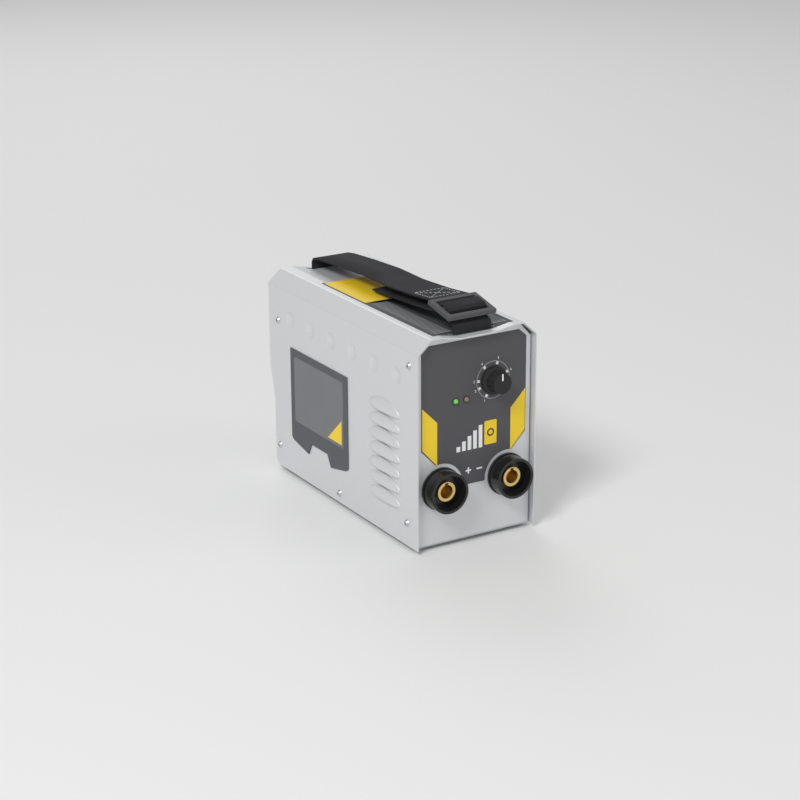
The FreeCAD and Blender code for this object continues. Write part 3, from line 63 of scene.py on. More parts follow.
# slot: (base colour, drift colour, metallic, roughness, grain size mm, grain height mm, stretch)
FINISHES = {
    "silver_paint": ((0.60, 0.61, 0.62), (0.55, 0.56, 0.57), 0.25, 0.36, 0.5, 0.010, PLAIN),
    "zinc_steel": ((0.50, 0.51, 0.53), (0.40, 0.41, 0.44), 0.9, 0.38, 0.8, 0.010, BRUSH),
    "screw_steel": ((0.60, 0.61, 0.63), (0.45, 0.46, 0.48), 1.0, 0.30, 0.5, 0.006, BRUSH),
    "aluminium": ((0.70, 0.71, 0.73), (0.60, 0.61, 0.63), 1.0, 0.35, 0.7, 0.010, BRUSH),
    "brass": ((0.78, 0.55, 0.22), (0.62, 0.40, 0.15), 1.0, 0.24, 0.4, 0.006, PLAIN),
    "copper": ((0.75, 0.36, 0.20), (0.52, 0.22, 0.12), 1.0, 0.30, 0.5, 0.006, PLAIN),
    "foot_rubber": ((0.025, 0.025, 0.025), (0.04, 0.04, 0.04), 0.0, 0.80, 0.7, 0.030, PLAIN),
    "plate_grey": ((0.085, 0.09, 0.10), (0.07, 0.074, 0.08), 0.0, 0.45, 0.4, 0.006, PLAIN),
    "label_grey": ((0.07, 0.074, 0.08), (0.055, 0.06, 0.065), 0.0, 0.42, 0.4, 0.006, PLAIN),
    "overlay_film": ((0.078, 0.082, 0.088), (0.068, 0.071, 0.077), 0.0, 0.46, 0.35, 0.012, PLAIN),
    "socket_plastic": ((0.010, 0.010, 0.011), (0.016, 0.016, 0.017), 0.0, 0.16, 1.5, 0.003, PLAIN),
    "black_plastic": ((0.018, 0.018, 0.019), (0.028, 0.028, 0.03), 0.0, 0.48, 0.5, 0.012, PLAIN),
    "knob_plastic": ((0.014, 0.014, 0.015), (0.022, 0.022, 0.023), 0.0, 0.36, 0.4, 0.008, PLAIN),
    "rocker_plastic": ((0.016, 0.016, 0.017), (0.024, 0.024, 0.025), 0.0, 0.28, 0.5, 0.005, PLAIN),
    "gland_plastic": ((0.025, 0.025, 0.026), (0.035, 0.035, 0.036), 0.0, 0.44, 0.5, 0.010, PLAIN),
    "buckle_plastic": ((0.060, 0.061, 0.064), (0.075, 0.076, 0.08), 0.0, 0.42, 0.5, 0.012, PLAIN),
    "white_mark": (WHITE, (0.74, 0.74, 0.74), 0.0, 0.45, 0.5, 0.004, PLAIN),
    "led_green": ((0.16, 0.78, 0.10), (0.22, 0.85, 0.14), 0.0, 0.12, 1.0, 0.002, PLAIN),
    "led_amber": ((0.10, 0.09, 0.07), (0.13, 0.11, 0.08), 0.0, 0.12, 1.0, 0.002, PLAIN),
    "circuit_board": ((0.02, 0.18, 0.07), (0.015, 0.13, 0.05), 0.0, 0.35, 2.0, 0.010, PLAIN),
    "ferrite": ((0.06, 0.06, 0.065), (0.09, 0.09, 0.095), 0.0, 0.55, 0.6, 0.020, PLAIN),
    "winding_tape": ((0.70, 0.55, 0.10), (0.60, 0.45, 0.08), 0.0, 0.40, 1.5, 0.020, PLAIN),
    "choke_coat": ((0.70, 0.62, 0.15), (0.62, 0.54, 0.12), 0.0, 0.45, 0.8, 0.020, PLAIN),
    "capacitor_sleeve": ((0.03, 0.05, 0.13), (0.04, 0.06, 0.15), 0.0, 0.35, 0.8, 0.006, PLAIN),
    "relay_case": ((0.04, 0.12, 0.36), (0.035, 0.10, 0.30), 0.0, 0.40, 0.6, 0.008, PLAIN),
    "webbing": ((0.016, 0.016, 0.018), (0.030, 0.030, 0.033), 0.0, 0.82, 0.6, 0.020, PLAIN),
}
PRINTED = {"yellow_print": YELLOW, "white_print": WHITE, "black_print": (0.012, 0.012, 0.012),
           "pale_print": (0.42, 0.43, 0.44), "field_print": (0.15, 0.155, 0.165)}
GLOW = {"led_green": ((0.25, 1.0, 0.12), 0.9)}
# webbing colour by weave height: the dark value is painted shade in the grooves, the pale value a painted
# highlight on the ridges
WEAVE_GROOVE_SHADE = (0.006, 0.006, 0.007, 1)
WEAVE_RIDGE_HIGHLIGHT = (0.060, 0.060, 0.064, 1)
WEAVE_DEPTH = 0.5 * MM

# front film: the wedges run from a waist to just inside the film's edge
WEDGE_BORDER = 0.6 * MM
WEDGE_WAIST = 39.8 * MM
WEDGE_OUTER = (98.6 * MM, 138.6 * MM)
WEDGE_INNER = (81.2 * MM, 122.6 * MM)
TICK_DEGREES = (244, 203, 177, 126, 74, 19)
FIGURE_RADIUS = 20.6 * MM
CIRCLE_RADII = (17.5 * MM, 17.9 * MM)
BAR_COUNT = 5
BAR_START = (-17 * MM, 90 * MM)
BAR_PITCH, BAR_WIDE = 6 * MM, 4 * MM
BAR_LOWEST, BAR_STEP = 5 * MM, 4.2 * MM
FIELD_CENTRE = (17.9 * MM, 102.9 * MM)
FIELD_SIZE = (13.4 * MM, 23 * MM)
FIELD_CORNER = 1.2 * MM
FIELD_RING = (2.4 * MM, 3.8 * MM)
SIGN_ACROSS, SIGN_UP = 6 * MM, 70 * MM
SIGN_LONG, SIGN_THICK = 6 * MM, 1.5 * MM
RIM_GAP, RIM_EDGE, RIM_RISE = 0.1 * MM, 0.9 * MM, 0.25 * MM

# top label
TOP_FIELD_START, TOP_FIELD_END = -11 * MM, 69 * MM
TOP_BORDER = 1.5 * MM
LINE_START, LINE_PITCH, LINE_THICK, LINE_CLEAR = 5 * MM, 3.2 * MM, 0.7 * MM, 4 * MM

# strap stitching: a box with its diagonals
STITCH_CENTRE, STITCH_HALF = 1 * MM, 16 * MM
STITCH_NEAR, STITCH_FAR = -84 * MM, -56 * MM
STITCH_RADIUS = 0.45 * MM
MERGE_DISTANCE = 1e-6
SHARP_ANGLE = math.radians(40)

# stage: name, place, size and power of each lamp, in metres and watts
LAMPS = (("key", (-2.2, -1.4, 2.6), 0.9, 56), ("fill", (2.4, -2.2, 1.4), 2.0, 12),
         ("rim", (0.8, 2.6, 2.2), 1.6, 18))
LAMP_AIM = Vector((0, 0, 0.1))
FLOOR_REACH = 12.0
SKY_STRENGTH = 0.45
CAMERA_AZIMUTH, CAMERA_RISE, CAMERA_ROLL = (math.radians(angle) for angle in (-31.21, 19.19, -0.31))
CAMERA_TARGET = Vector((0, -4.34 * MM, 98.82 * MM))
CAMERA_DISTANCE = 2010.2 * MM
CAMERA_LENS, CAMERA_SENSOR = 94.04, 36.0


# ---------------------------------------------------------------- materials

def detail_group():
    """Shared group. Colour: base drifts towards a second colour by slow noise, and towards a pale
    edge colour where the surface is convex, a painted highlight for light caught on edges.
    Height: fine noise at the grain size. Roughness: the base value plus a share of the slow noise."""
    group = bpy.data.node_groups.get("surface_detail")
    if group:
        return group
    group = bpy.data.node_groups.new("surface_detail", "ShaderNodeTree")
    for name, kind in (("Color", "Color"), ("Drift", "Color"), ("Edge", "Color"), ("Highlight", "Float"),
                       ("Grain", "Float"), ("Roughness", "Float"), ("Stretch", "Vector")):
        group.interface.new_socket(name=name, in_out="INPUT", socket_type="NodeSocket" + kind)
    for name, kind in (("Color", "Color"), ("Roughness", "Float"), ("Height", "Float")):
        group.interface.new_socket(name=name, in_out="OUTPUT", socket_type="NodeSocket" + kind)
    nodes, links = group.nodes, group.links
    given, out = nodes.new("NodeGroupInput"), nodes.new("NodeGroupOutput")
    place = nodes.new("ShaderNodeTexCoord")
    along = nodes.new("ShaderNodeVectorMath")
    along.operation = "MULTIPLY"
    links.new(place.outputs["Object"], along.inputs[0])
    links.new(given.outputs["Stretch"], along.inputs[1])
    grain, drift = nodes.new("ShaderNodeTexNoise"), nodes.new("ShaderNodeTexNoise")
    grain.inputs["Detail"].default_value = 3.0
    drift.inputs["Scale"].default_value = 28.0
    drift.inputs["Detail"].default_value = 4.0
    links.new(along.outputs[0], grain.inputs["Vector"])
    links.new(given.outputs["Grain"], grain.inputs["Scale"])
    links.new(place.outputs["Object"], drift.inputs["Vector"])
    tint = nodes.new("ShaderNodeMix")
    tint.data_type = "RGBA"
    links.new(drift.outputs["Fac"], tint.inputs[0])
    links.new(given.outputs["Color"], tint.inputs[6])
    links.new(given.outputs["Drift"], tint.inputs[7])
    # convex edges drift towards the pale edge colour: a painted highlight standing for light caught on edges
    shape = nodes.new("ShaderNodeNewGeometry")
    convex = nodes.new("ShaderNodeMapRange")
    convex.inputs["From Min"].default_value = 0.53
    convex.inputs["From Max"].default_value = 0.62
    links.new(shape.outputs["Pointiness"], convex.inputs["Value"])
    edge_highlight = nodes.new("ShaderNodeMath")
    edge_highlight.operation = "MULTIPLY"
    links.new(convex.outputs["Result"], edge_highlight.inputs[0])
    links.new(given.outputs["Highlight"], edge_highlight.inputs[1])
    highlighted = nodes.new("ShaderNodeMix")
    highlighted.data_type = "RGBA"
    links.new(edge_highlight.outputs[0], highlighted.inputs[0])
    links.new(tint.outputs[2], highlighted.inputs[6])
    links.new(given.outputs["Edge"], highlighted.inputs[7])
    spread = nodes.new("ShaderNodeMath")
    spread.operation = "MULTIPLY_ADD"
    spread.inputs[1].default_value = 0.12
    links.new(drift.outputs["Fac"], spread.inputs[0])
    links.new(given.outputs["Roughness"], spread.inputs[2])
    links.new(highlighted.outputs[2], out.inputs["Color"])
    links.new(spread.outputs[0], out.inputs["Roughness"])
    links.new(grain.outputs["Fac"], out.inputs["Height"])
    return group


def weave_group():
    """Shared group. Height of a woven band: the sum of a diagonal sine ridge and a sine ridge
    across the width, both from Object coordinates."""
    group = bpy.data.node_groups.get("webbing_weave")
    if group:
        return group
    group = bpy.data.node_groups.new("webbing_weave", "ShaderNodeTree")
    for name in ("Diagonal", "Rib"):
        group.interface.new_socket(name=name, in_out="INPUT", socket_type="NodeSocketFloat")
    group.interface.new_socket(name="Height", in_out="OUTPUT", socket_type="NodeSocketFloat")
    nodes, links = group.nodes, group.links
    given, out = nodes.new("NodeGroupInput"), nodes.new("NodeGroupOutput")
    place = nodes.new("ShaderNodeTexCoord")
    total = nodes.new("ShaderNodeMath")
    for index, (name, way) in enumerate((("Diagonal", "DIAGONAL"), ("Rib", "X"))):
        ridge = nodes.new("ShaderNodeTexWave")
        ridge.bands_direction = way
        links.new(place.outputs["Object"], ridge.inputs["Vector"])
        links.new(given.outputs[name], ridge.inputs["Scale"])
        links.new(ridge.outputs["Fac"], total.inputs[index])
    links.new(total.outputs[0], out.inputs["Height"])
    return group


def finish(name):
    """The material of one record slot or printed ink, made once."""
    if name in bpy.data.materials:
        return bpy.data.materials[name]
    if name in PRINTED:
        colour = PRINTED[name]
        row = (colour, tuple(0.93 * part for part in colour), 0.0, 0.42, 0.4, 0.003, PLAIN)
    else:
        row = FINISHES[name]
    colour, drift, metallic, rough, size, height, stretch = row
    if name == "silver_paint":
        colour = tuple(bpy.context.scene.welder_colours.paint)
    material = bpy.data.materials.new(name)
    material.use_nodes = True
    nodes, links = material.node_tree.nodes, material.node_tree.links
    shader = nodes["Principled BSDF"]
    shader.inputs["Metallic"].default_value = metallic
    detail = nodes.new("ShaderNodeGroup")
    detail.node_tree = detail_group()
    # pale copy of the base colour, laid on convex edges as a painted highlight
    edge = tuple(min(1.0, part * 1.35 + 0.03) for part in colour)
    for socket, value in (("Color", (*colour, 1)), ("Drift", (*drift, 1)), ("Edge", (*edge, 1)),
                          ("Highlight", 0.4), ("Grain", 1 / (size * MM)), ("Roughness", rough - 0.06),
                          ("Stretch", stretch)):
        detail.inputs[socket].default_value = value
    links.new(detail.outputs["Color"], shader.inputs["Base Color"])
    links.new(detail.outputs["Roughness"], shader.inputs["Roughness"])
    bump = nodes.new("ShaderNodeBump")
    bump.inputs["Distance"].default_value = height * MM
    source = detail.outputs["Height"]
    if name == "webbing":
        weave = nodes.new("ShaderNodeGroup")
        weave.node_tree = weave_group()
        weave.inputs["Diagonal"].default_value = 260.0
        weave.inputs["Rib"].default_value = 150.0
        bump.inputs["Distance"].default_value = WEAVE_DEPTH
        source = weave.outputs["Height"]
        # colour follows weave height: painted shade in the grooves, painted highlight on the ridges
        weave_shading = nodes.new("ShaderNodeMix")
        weave_shading.data_type = "RGBA"
        weave_shading.inputs[6].default_value = WEAVE_GROOVE_SHADE
        weave_shading.inputs[7].default_value = WEAVE_RIDGE_HIGHLIGHT
        half = nodes.new("ShaderNodeMath")
        half.operation = "MULTIPLY"
        half.inputs[1].default_value = 0.5
        links.new(source, half.inputs[0])
        links.new(half.outputs[0], weave_shading.inputs[0])
        links.new(weave_shading.outputs[2], shader.inputs["Base Color"])
        shader.inputs["Sheen Weight"].default_value = 0.3
    links.new(source, bump.inputs["Height"])
    links.new(bump.outputs["Normal"], shader.inputs["Normal"])
    if name in GLOW:
        glow, strength = GLOW[name]
        shader.inputs["Emission Color"].default_value = (*glow, 1)
        shader.inputs["Emission Strength"].default_value = strength
    return material


# ---------------------------------------------------------------- shapes

def front(points):
    """Plane coordinates (across, up, out) to the frame, on a face that looks along -Y."""
    return np.stack([points[:, 0], -points[:, 2], points[:, 1]], axis=1)


def top(points):
    """Plane coordinates (across, along, out) to the frame, on a face that looks up."""
    return points


def left(points):
    """Plane coordinates (across, up, out) to the frame, on a face that looks along -X."""
    return np.stack([-points[:, 2], -points[:, 0], points[:, 1]], axis=1)


def grid_faces(rows, columns, closed):
    """Quads of a grid whose columns meet at the ends, and whose rows meet too where closed."""
    row = np.arange(rows if closed else rows - 1)[:, None]
    column = np.arange(columns)[None, :]
    after, beside = (row + 1) % rows, (column + 1) % columns
    corners = (row * columns + column, after * columns + column,
               after * columns + beside, row * columns + beside)
    return np.stack(corners, axis=2).reshape(-1, 4)


def prism(outline, low, high):
    """A flat outline, turned anticlockwise, carried from low to high: side quads and two caps."""
    flat = np.asarray(outline, dtype=float)
    following = np.roll(flat, -1, axis=0)
    if np.sum(flat[:, 0] * following[:, 1] - following[:, 0] * flat[:, 1]) < 0:
        flat = flat[::-1]
    count = len(flat)
    points = np.vstack([np.column_stack([flat, np.full(count, low)]),
                        np.column_stack([flat, np.full(count, high)])])
    faces = [(i, (i + 1) % count, (i + 1) % count + count, i + count) for i in range(count)]
    faces += [tuple(range(count - 1, -1, -1)), tuple(range(count, 2 * count))]
    return points, faces


def ring(centre, inner, outer, low, high, count=72):
    """A square section carried round a circle: angle by section corner, closed both ways."""
    angle = np.linspace(0, 2 * math.pi, count, endpoint=False)[:, None]
    radius = np.array([inner, outer, outer, inner])[None, :]
    height = np.array([low, low, high, high])[None, :] + 0 * angle
    grid = np.stack([centre[0] + radius * np.cos(angle), centre[1] + radius * np.sin(angle), height],
                    axis=2)
    return grid.reshape(-1, 3), grid_faces(count, radius.shape[1], True).tolist()


def block(x, y, wide, tall, turn=0.0):
    """Four corners of a rectangle about a centre, turned by an angle in radians."""
    corner = np.array([(-wide, -tall), (wide, -tall), (wide, tall), (-wide, tall)]) / 2
    spin = np.array([(math.cos(turn), math.sin(turn)), (-math.sin(turn), math.cos(turn))])
    return corner @ spin + (x, y)


def rounded(x, y, wide, tall, radius, steps=6):
    """A rectangle whose corners are quarter circles of the given radius."""
    points = []
    for quarter, (sx, sy) in enumerate(((1, 1), (-1, 1), (-1, -1), (1, -1))):
        angle = np.linspace(0, math.pi / 2, steps) + quarter * math.pi / 2
        points.append(np.column_stack([x + sx * (wide / 2 - radius) + radius * np.cos(angle),
                                       y + sy * (tall / 2 - radius) + radius * np.sin(angle)]))
    return np.vstack(points)


def capsule(start, end, radius, rings=5, sides=8):
    """A stitch: circles whose radius follows a half sine along the line from start to end."""
    start, end = np.array(start), np.array(end)
    way = (end - start) / np.linalg.norm(end - start)
    across = np.cross(way, (0, 0, 1.0))
    across /= np.linalg.norm(across)
    over = np.cross(way, across)
    share = np.linspace(0.04, 0.96, rings)[:, None, None]
    angle = np.linspace(0, 2 * math.pi, sides, endpoint=False)[None, :, None]
    size = radius * np.sqrt(np.sin(math.pi * share))
    grid = start + (end - start) * share + size * (np.cos(angle) * across + np.sin(angle) * over)
    faces = grid_faces(rings, sides, False)[:, ::-1].tolist()
    faces += [tuple(range(sides - 1, -1, -1)), tuple(range((rings - 1) * sides, rings * sides))]
    return grid.reshape(-1, 3), faces


def piece(name, parts, material, body="chassis", plane=None):
    """One object made of several closed shapes, with its place in its mesh."""
    points, faces, base = [], [], 0
    for corner, polygons in parts:
        points.append(corner)
        faces += [tuple(index + base for index in polygon) for polygon in polygons]
        base += len(corner)
    points = np.vstack(points)
    if plane:
        points = plane(points)
    mesh = bpy.data.meshes.new(name)
    mesh.from_pydata(points.tolist(), [], faces)
    mesh.update()
    work = bmesh.new()
    work.from_mesh(mesh)
    bmesh.ops.recalc_face_normals(work, faces=work.faces)
    work.to_mesh(mesh)
    work.free()
    mesh.materials.append(finish(material))
    item = bpy.data.objects.new(name, mesh)
    bpy.context.scene.collection.objects.link(item)
    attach(item, body)
    return item


def numeral(text, x, y, height, low, high):
    """The filled outline of plain figures, centred on a point, as a closed shape from low to high."""
    curve = bpy.data.curves.new("figure", "FONT")
    curve.body = text
    curve.size = height
    curve.align_x = "CENTER"
    curve.align_y = "CENTER"
    curve.extrude = (high - low) / 2
    holder = bpy.data.objects.new("figure", curve)
    mesh = bpy.data.meshes.new_from_object(holder)
    work = bmesh.new()
    work.from_mesh(mesh)
    bmesh.ops.remove_doubles(work, verts=work.verts, dist=1e-7)
    points = np.array([tuple(vert.co) for vert in work.verts])
    faces = [tuple(vert.index for vert in face.verts) for face in work.faces]
    work.free()
    bpy.data.objects.remove(holder)
    bpy.data.curves.remove(curve)
    bpy.data.meshes.remove(mesh)
    return points + (x, y, (low + high) / 2), faces


# ---------------------------------------------------------------- settings

class WelderColours(bpy.types.PropertyGroup):
    """Colours that a user would change."""
    paint: bpy.props.FloatVectorProperty(name="Cover paint", description="Powder coat of cover and panels",
                                         subtype="COLOR", size=3, default=(0.60, 0.61, 0.62), min=0, max=1)
    floor: bpy.props.FloatVectorProperty(name="Floor", description="Studio floor", subtype="COLOR", size=3,
                                         default=(0.88, 0.88, 0.88), min=0, max=1)


class WelderMarks(bpy.types.PropertyGroup):
    """Sizes of the printed marks."""
    tick: bpy.props.FloatProperty(name="Tick", description="Side of a dial tick", default=2.6 * MM,
                                  unit="LENGTH", precision=5)
    tick_radius: bpy.props.FloatProperty(name="Tick radius", description="Circle the ticks lie on",
                                         default=15.8 * MM, unit="LENGTH", precision=5)
    figure: bpy.props.FloatProperty(name="Figure", description="Height of a dial figure", default=3.4 * MM,
                                    unit="LENGTH", precision=5)
    stitch: bpy.props.FloatProperty(name="Stitch", description="Length of a webbing stitch",
                                    default=3.0 * MM, unit="LENGTH", precision=5)


# ---------------------------------------------------------------- operators

class WELDER_OT_finishes(bpy.types.Operator):
    """Give every constructed piece the finish of its record slot"""
    bl_idname = "welder.finishes"
    bl_label = "Finishes"

    def execute(self, context):
        for row in frame["record"]["subparts"]:
            node = frame["nodes"][row["node"]]
            material = finish(row["material_slot"])
            if not node.material_slots:
                node.data.materials.append(material)
            for place in node.material_slots:
                place.material = material
        return {"FINISHED"}


class WELDER_OT_front_marks(bpy.types.Operator):
    """Print the wedges, dial scale, level bars and polarity signs on the front film"""
    bl_idname = "welder.front_marks"
    bl_label = "Front marks"

    def execute(self, context):
        marks = context.scene.welder_marks
        low_corner, high_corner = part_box("front_overlay")
        out = -low_corner[1]
        low, high = out - FILM_SINK, out + FILM_RISE
        edge = high_corner[0] - WEDGE_BORDER
        wedges = []
        for side in (-1, 1):
            wedges.append(prism([(side * edge, WEDGE_OUTER[0]), (side * edge, WEDGE_OUTER[1]),
                                 (side * WEDGE_WAIST, WEDGE_INNER[1]), (side * WEDGE_WAIST, WEDGE_INNER[0])],
                                low, high))
        piece("overlay_wedges", wedges, "yellow_print", plane=front)

        knob_low, knob_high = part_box("current_knob")
        x, z = (knob_low[0] + knob_high[0]) / 2, (knob_low[2] + knob_high[2]) / 2
        ticks, figures = [], []
        for number, degrees in enumerate(TICK_DEGREES, start=1):
            turn = math.radians(degrees)
            way = np.array((math.cos(turn), math.sin(turn)))
            spot = (x, z) + marks.tick_radius * way
            ticks.append(prism(block(*spot, marks.tick, marks.tick, turn), low, high))
            label = (x, z) + FIGURE_RADIUS * way
            figures.append(numeral(str(number), *label, marks.figure, low, high))
        piece("dial_ticks", ticks, "white_print", plane=front)
        piece("dial_figures", figures, "white_print", plane=front)
        circle = [ring((x, z), *CIRCLE_RADII, low, high)]
        piece("dial_circle", circle, "pale_print", plane=front)

        bars = []
        for i in range(BAR_COUNT):
            tall = BAR_LOWEST + BAR_STEP * i
            bars.append(prism(block(BAR_START[0] + BAR_PITCH * i, BAR_START[1] + tall / 2, BAR_WIDE, tall),
                              low, high))
        piece("level_bars", bars, "white_print", plane=front)
        frame_box = [prism(rounded(*FIELD_CENTRE, *FIELD_SIZE, FIELD_CORNER), low, high)]
        piece("level_field", frame_box, "yellow_print", plane=front)
        mark = [ring(FIELD_CENTRE, *FIELD_RING, low, high + 0.1 * MM)]
        piece("level_mark", mark, "black_print", plane=front)

        signs = [prism(block(-SIGN_ACROSS, SIGN_UP, SIGN_LONG, SIGN_THICK), low, high),
                 prism(block(-SIGN_ACROSS, SIGN_UP, SIGN_THICK, SIGN_LONG), low, high + 0.02 * MM),
                 prism(block(SIGN_ACROSS, SIGN_UP, SIGN_LONG, SIGN_THICK), low, high)]
        piece("polarity_signs", signs, "white_print", plane=front)

        rims = []
        for node in ("power_led", "overheat_led"):
            lamp_low, lamp_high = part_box(node)
            centre = ((lamp_low[0] + lamp_high[0]) / 2, (lamp_low[2] + lamp_high[2]) / 2)
            radius = (lamp_high[0] - lamp_low[0]) / 2
            rims.append(ring(centre, radius + RIM_GAP, radius + RIM_EDGE, low, high + RIM_RISE))
        piece("lamp_rims", rims, "black_print", plane=front)
        return {"FINISHED"}


class WELDER_OT_top_marks(bpy.types.Operator):
    """Print the yellow field and plain lines of the top label"""
    bl_idname = "welder.top_marks"
    bl_label = "Top marks"

    def execute(self, context):
        low_corner, high_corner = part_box("top_label")
        out = high_corner[2]
        low, high = out - FILM_SINK, out + FILM_RISE
        x = (low_corner[0] + high_corner[0]) / 2
        wide = high_corner[0] - low_corner[0] - 2 * TOP_BORDER
        back = min(TOP_FIELD_END, high_corner[1] - TOP_BORDER)
        start = TOP_FIELD_START
        field = [prism(rounded(x, (start + back) / 2, wide, back - start, TOP_BORDER), low, high)]
        piece("top_field", field, "yellow_print", plane=top)
        ahead = low_corner[1] + LINE_START
        lines = []
        while ahead < start - LINE_CLEAR:
            for side in (-1, 1):
                lines.append(prism(block(x + side * 0.36 * wide, ahead, 0.2 * wide, LINE_THICK), low, high))
            ahead += LINE_PITCH
        if lines:
            piece("top_lines", lines, "pale_print", plane=top)
        return {"FINISHED"}


class WELDER_OT_side_marks(bpy.types.Operator):
    """Print a plain field and a small corner on the left side plate"""
    bl_idname = "welder.side_marks"
    bl_label = "Side marks"

    def execute(self, context):
        low_corner, high_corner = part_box("side_plate_left")
        out = -low_corner[0]
        low, high = out - FILM_SINK, out + FILM_RISE
        long, tall = high_corner[1] - low_corner[1], high_corner[2] - low_corner[2]
        middle, level = -(low_corner[1] + high_corner[1]) / 2, (low_corner[2] + high_corner[2]) / 2
        field = [prism(rounded(middle, level + 0.1 * tall, 0.86 * long, 0.66 * tall, 3 * MM), low, high)]
        piece("side_field", field, "field_print", plane=left)
        toe, foot = middle + 0.40 * long, level - 0.20 * tall
        corner = [prism([(toe, foot), (toe, foot + 0.24 * tall), (toe - 0.24 * long, foot)],
                        low, high + 0.05 * MM)]
        piece("side_corner", corner, "yellow_print", plane=left)
        return {"FINISHED"}


class WELDER_OT_strap(bpy.types.Operator):
    """Make the woven carrying strap and its box of stitches"""
    bl_idname = "welder.strap"
    bl_label = "Strap"

    def execute(self, context):
        marks = context.scene.welder_marks
        trees = {}
        for node in ("strap_rear", "strap_front"):
            mesh = frame["nodes"][node].data.copy()
            mesh.name = node + "_webbing"
            work = bmesh.new()
            work.from_mesh(mesh)
            bmesh.ops.remove_doubles(work, verts=work.verts, dist=MERGE_DISTANCE)
            trees[node] = BVHTree.FromBMesh(work)
            work.to_mesh(mesh)
            work.free()
            mesh.shade_smooth()
            mesh.set_sharp_from_angle(angle=SHARP_ANGLE)
            mesh.materials.clear()
            mesh.materials.append(finish("webbing"))
            item = bpy.data.objects.new(mesh.name, mesh)
            context.scene.collection.objects.link(item)
            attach(item, "chassis")
            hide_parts(node)
        low_x, high_x = STITCH_CENTRE - STITCH_HALF, STITCH_CENTRE + STITCH_HALF
        corners = [(low_x, STITCH_NEAR), (high_x, STITCH_NEAR), (high_x, STITCH_FAR), (low_x, STITCH_FAR)]
        runs = [(corners[i], corners[(i + 1) % 4]) for i in range(4)]
        runs += [(corners[0], corners[2]), (corners[1], corners[3])]
        stitches = []
        for start, end in runs:
            start, end = np.array(start), np.array(end)
            count = max(2, int(np.linalg.norm(end - start) / (marks.stitch * 1.3)))
            for i in range(count):
                pair = [start + (end - start) * (i + share) / count for share in (0.12, 0.88)]
                hits = [trees["strap_rear"].ray_cast(Vector((*spot, 0.4)), Vector((0, 0, -1)))[0]
                        for spot in pair]
                if all(hits):
                    stitches.append(capsule(*[tuple(hit) for hit in hits], STITCH_RADIUS))
        if not stitches:
            raise RuntimeError("the stitches found no webbing under them")
        piece("strap_stitches", stitches, "pale_print")
        return {"FINISHED"}


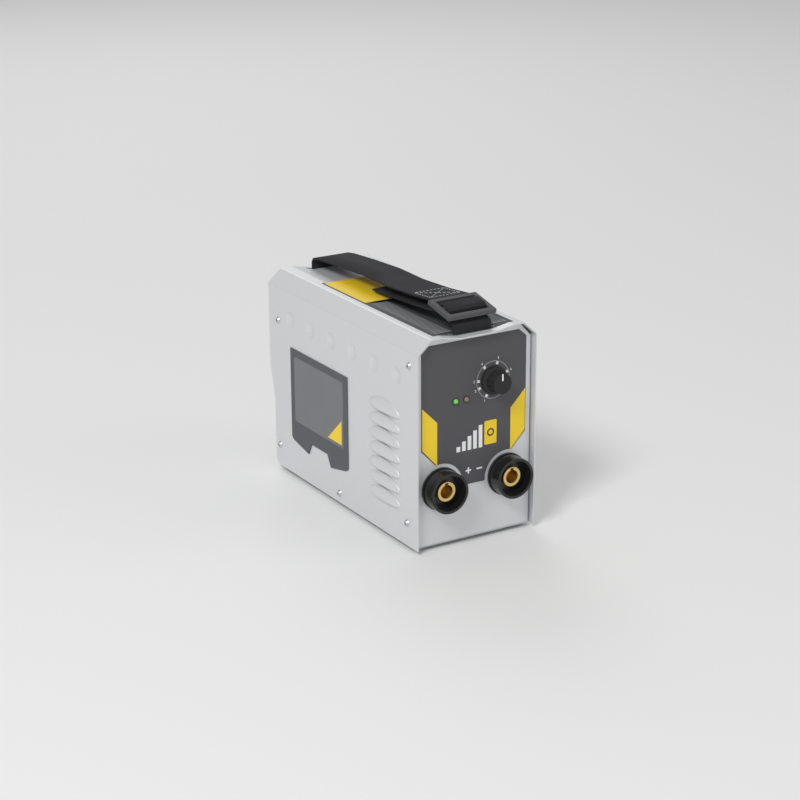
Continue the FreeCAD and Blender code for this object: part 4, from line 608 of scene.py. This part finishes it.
class WELDER_OT_stage(bpy.types.Operator):
    """Set the floor, the lamps, the sky and the camera"""
    bl_idname = "welder.stage"
    bl_label = "Stage"

    def execute(self, context):
        scene = context.scene
        scene.view_settings.view_transform = "Standard"
        reach = FLOOR_REACH
        mesh = bpy.data.meshes.new("studio_floor")
        mesh.from_pydata([(-reach, -reach, 0), (reach, -reach, 0), (reach, reach, 0), (-reach, reach, 0)],
                         [], [(0, 1, 2, 3)])
        material = bpy.data.materials.new("studio_floor")
        material.use_nodes = True
        shader = material.node_tree.nodes["Principled BSDF"]
        shader.inputs["Base Color"].default_value = (*scene.welder_colours.floor, 1)
        shader.inputs["Roughness"].default_value = 0.8
        mesh.materials.append(material)
        floor = bpy.data.objects.new("studio_floor", mesh)
        scene.collection.objects.link(floor)

        world = bpy.data.worlds.new("studio_sky")
        scene.world = world
        world.use_nodes = True
        nodes, links = world.node_tree.nodes, world.node_tree.links
        lit = nodes["Background"]
        lit.inputs["Color"].default_value = (1, 1, 1, 1)
        lit.inputs["Strength"].default_value = SKY_STRENGTH
        seen = nodes.new("ShaderNodeBackground")
        seen.inputs["Color"].default_value = (0.95, 0.95, 0.95, 1)
        path, mix = nodes.new("ShaderNodeLightPath"), nodes.new("ShaderNodeMixShader")
        links.new(path.outputs["Is Camera Ray"], mix.inputs[0])
        links.new(lit.outputs[0], mix.inputs[1])
        links.new(seen.outputs[0], mix.inputs[2])
        links.new(mix.outputs[0], nodes["World Output"].inputs["Surface"])

        for name, spot, size, power in LAMPS:
            lamp = bpy.data.lights.new(name, "AREA")
            lamp.size = size
            lamp.energy = power
            item = bpy.data.objects.new(name, lamp)
            item.location = spot
            item.rotation_euler = (LAMP_AIM - Vector(spot)).to_track_quat("-Z", "Y").to_euler()
            scene.collection.objects.link(item)

        turn, rise, roll = CAMERA_AZIMUTH, CAMERA_RISE, CAMERA_ROLL
        back = Vector((math.sin(turn) * math.cos(rise), -math.cos(turn) * math.cos(rise), math.sin(rise)))
        right = Vector((math.cos(turn), math.sin(turn), 0))
        up = back.cross(right)
        right, up = (right * math.cos(roll) + up * math.sin(roll),
                     up * math.cos(roll) - right * math.sin(roll))
        lens = bpy.data.cameras.new("camera")
        lens.lens = CAMERA_LENS
        lens.sensor_width = CAMERA_SENSOR
        camera = bpy.data.objects.new("camera", lens)
        scene.collection.objects.link(camera)
        matrix = Matrix((right, up, back)).transposed().to_4x4()
        matrix.translation = CAMERA_TARGET + back * CAMERA_DISTANCE
        camera.matrix_world = matrix
        scene.camera = camera
        return {"FINISHED"}


OPERATORS = (WELDER_OT_finishes, WELDER_OT_front_marks, WELDER_OT_top_marks, WELDER_OT_side_marks,
             WELDER_OT_strap, WELDER_OT_stage)


class WELDER_PT_panel(bpy.types.Panel):
    """The welder's steps and settings"""
    bl_label = "Stick welder"
    bl_idname = "WELDER_PT_panel"
    bl_space_type = "VIEW_3D"
    bl_region_type = "UI"
    bl_category = "Welder"

    def draw(self, context):
        for group in (context.scene.welder_colours, context.scene.welder_marks):
            for name in group.__annotations__:
                self.layout.prop(group, name)
        for operator in OPERATORS:
            self.layout.operator(operator.bl_idname)


CLASSES = (WelderColours, WelderMarks, *OPERATORS, WELDER_PT_panel)


def register():
    for item in CLASSES:
        bpy.utils.register_class(item)
    bpy.types.Scene.welder_colours = bpy.props.PointerProperty(type=WelderColours)
    bpy.types.Scene.welder_marks = bpy.props.PointerProperty(type=WelderMarks)


def unregister():
    del bpy.types.Scene.welder_marks
    del bpy.types.Scene.welder_colours
    for item in reversed(CLASSES):
        bpy.utils.unregister_class(item)


def main():
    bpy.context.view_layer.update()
    register()
    bpy.ops.welder.finishes()
    bpy.ops.welder.front_marks()
    bpy.ops.welder.top_marks()
    bpy.ops.welder.side_marks()
    bpy.ops.welder.strap()
    bpy.ops.welder.stage()


if __name__ == "__main__":
    main()
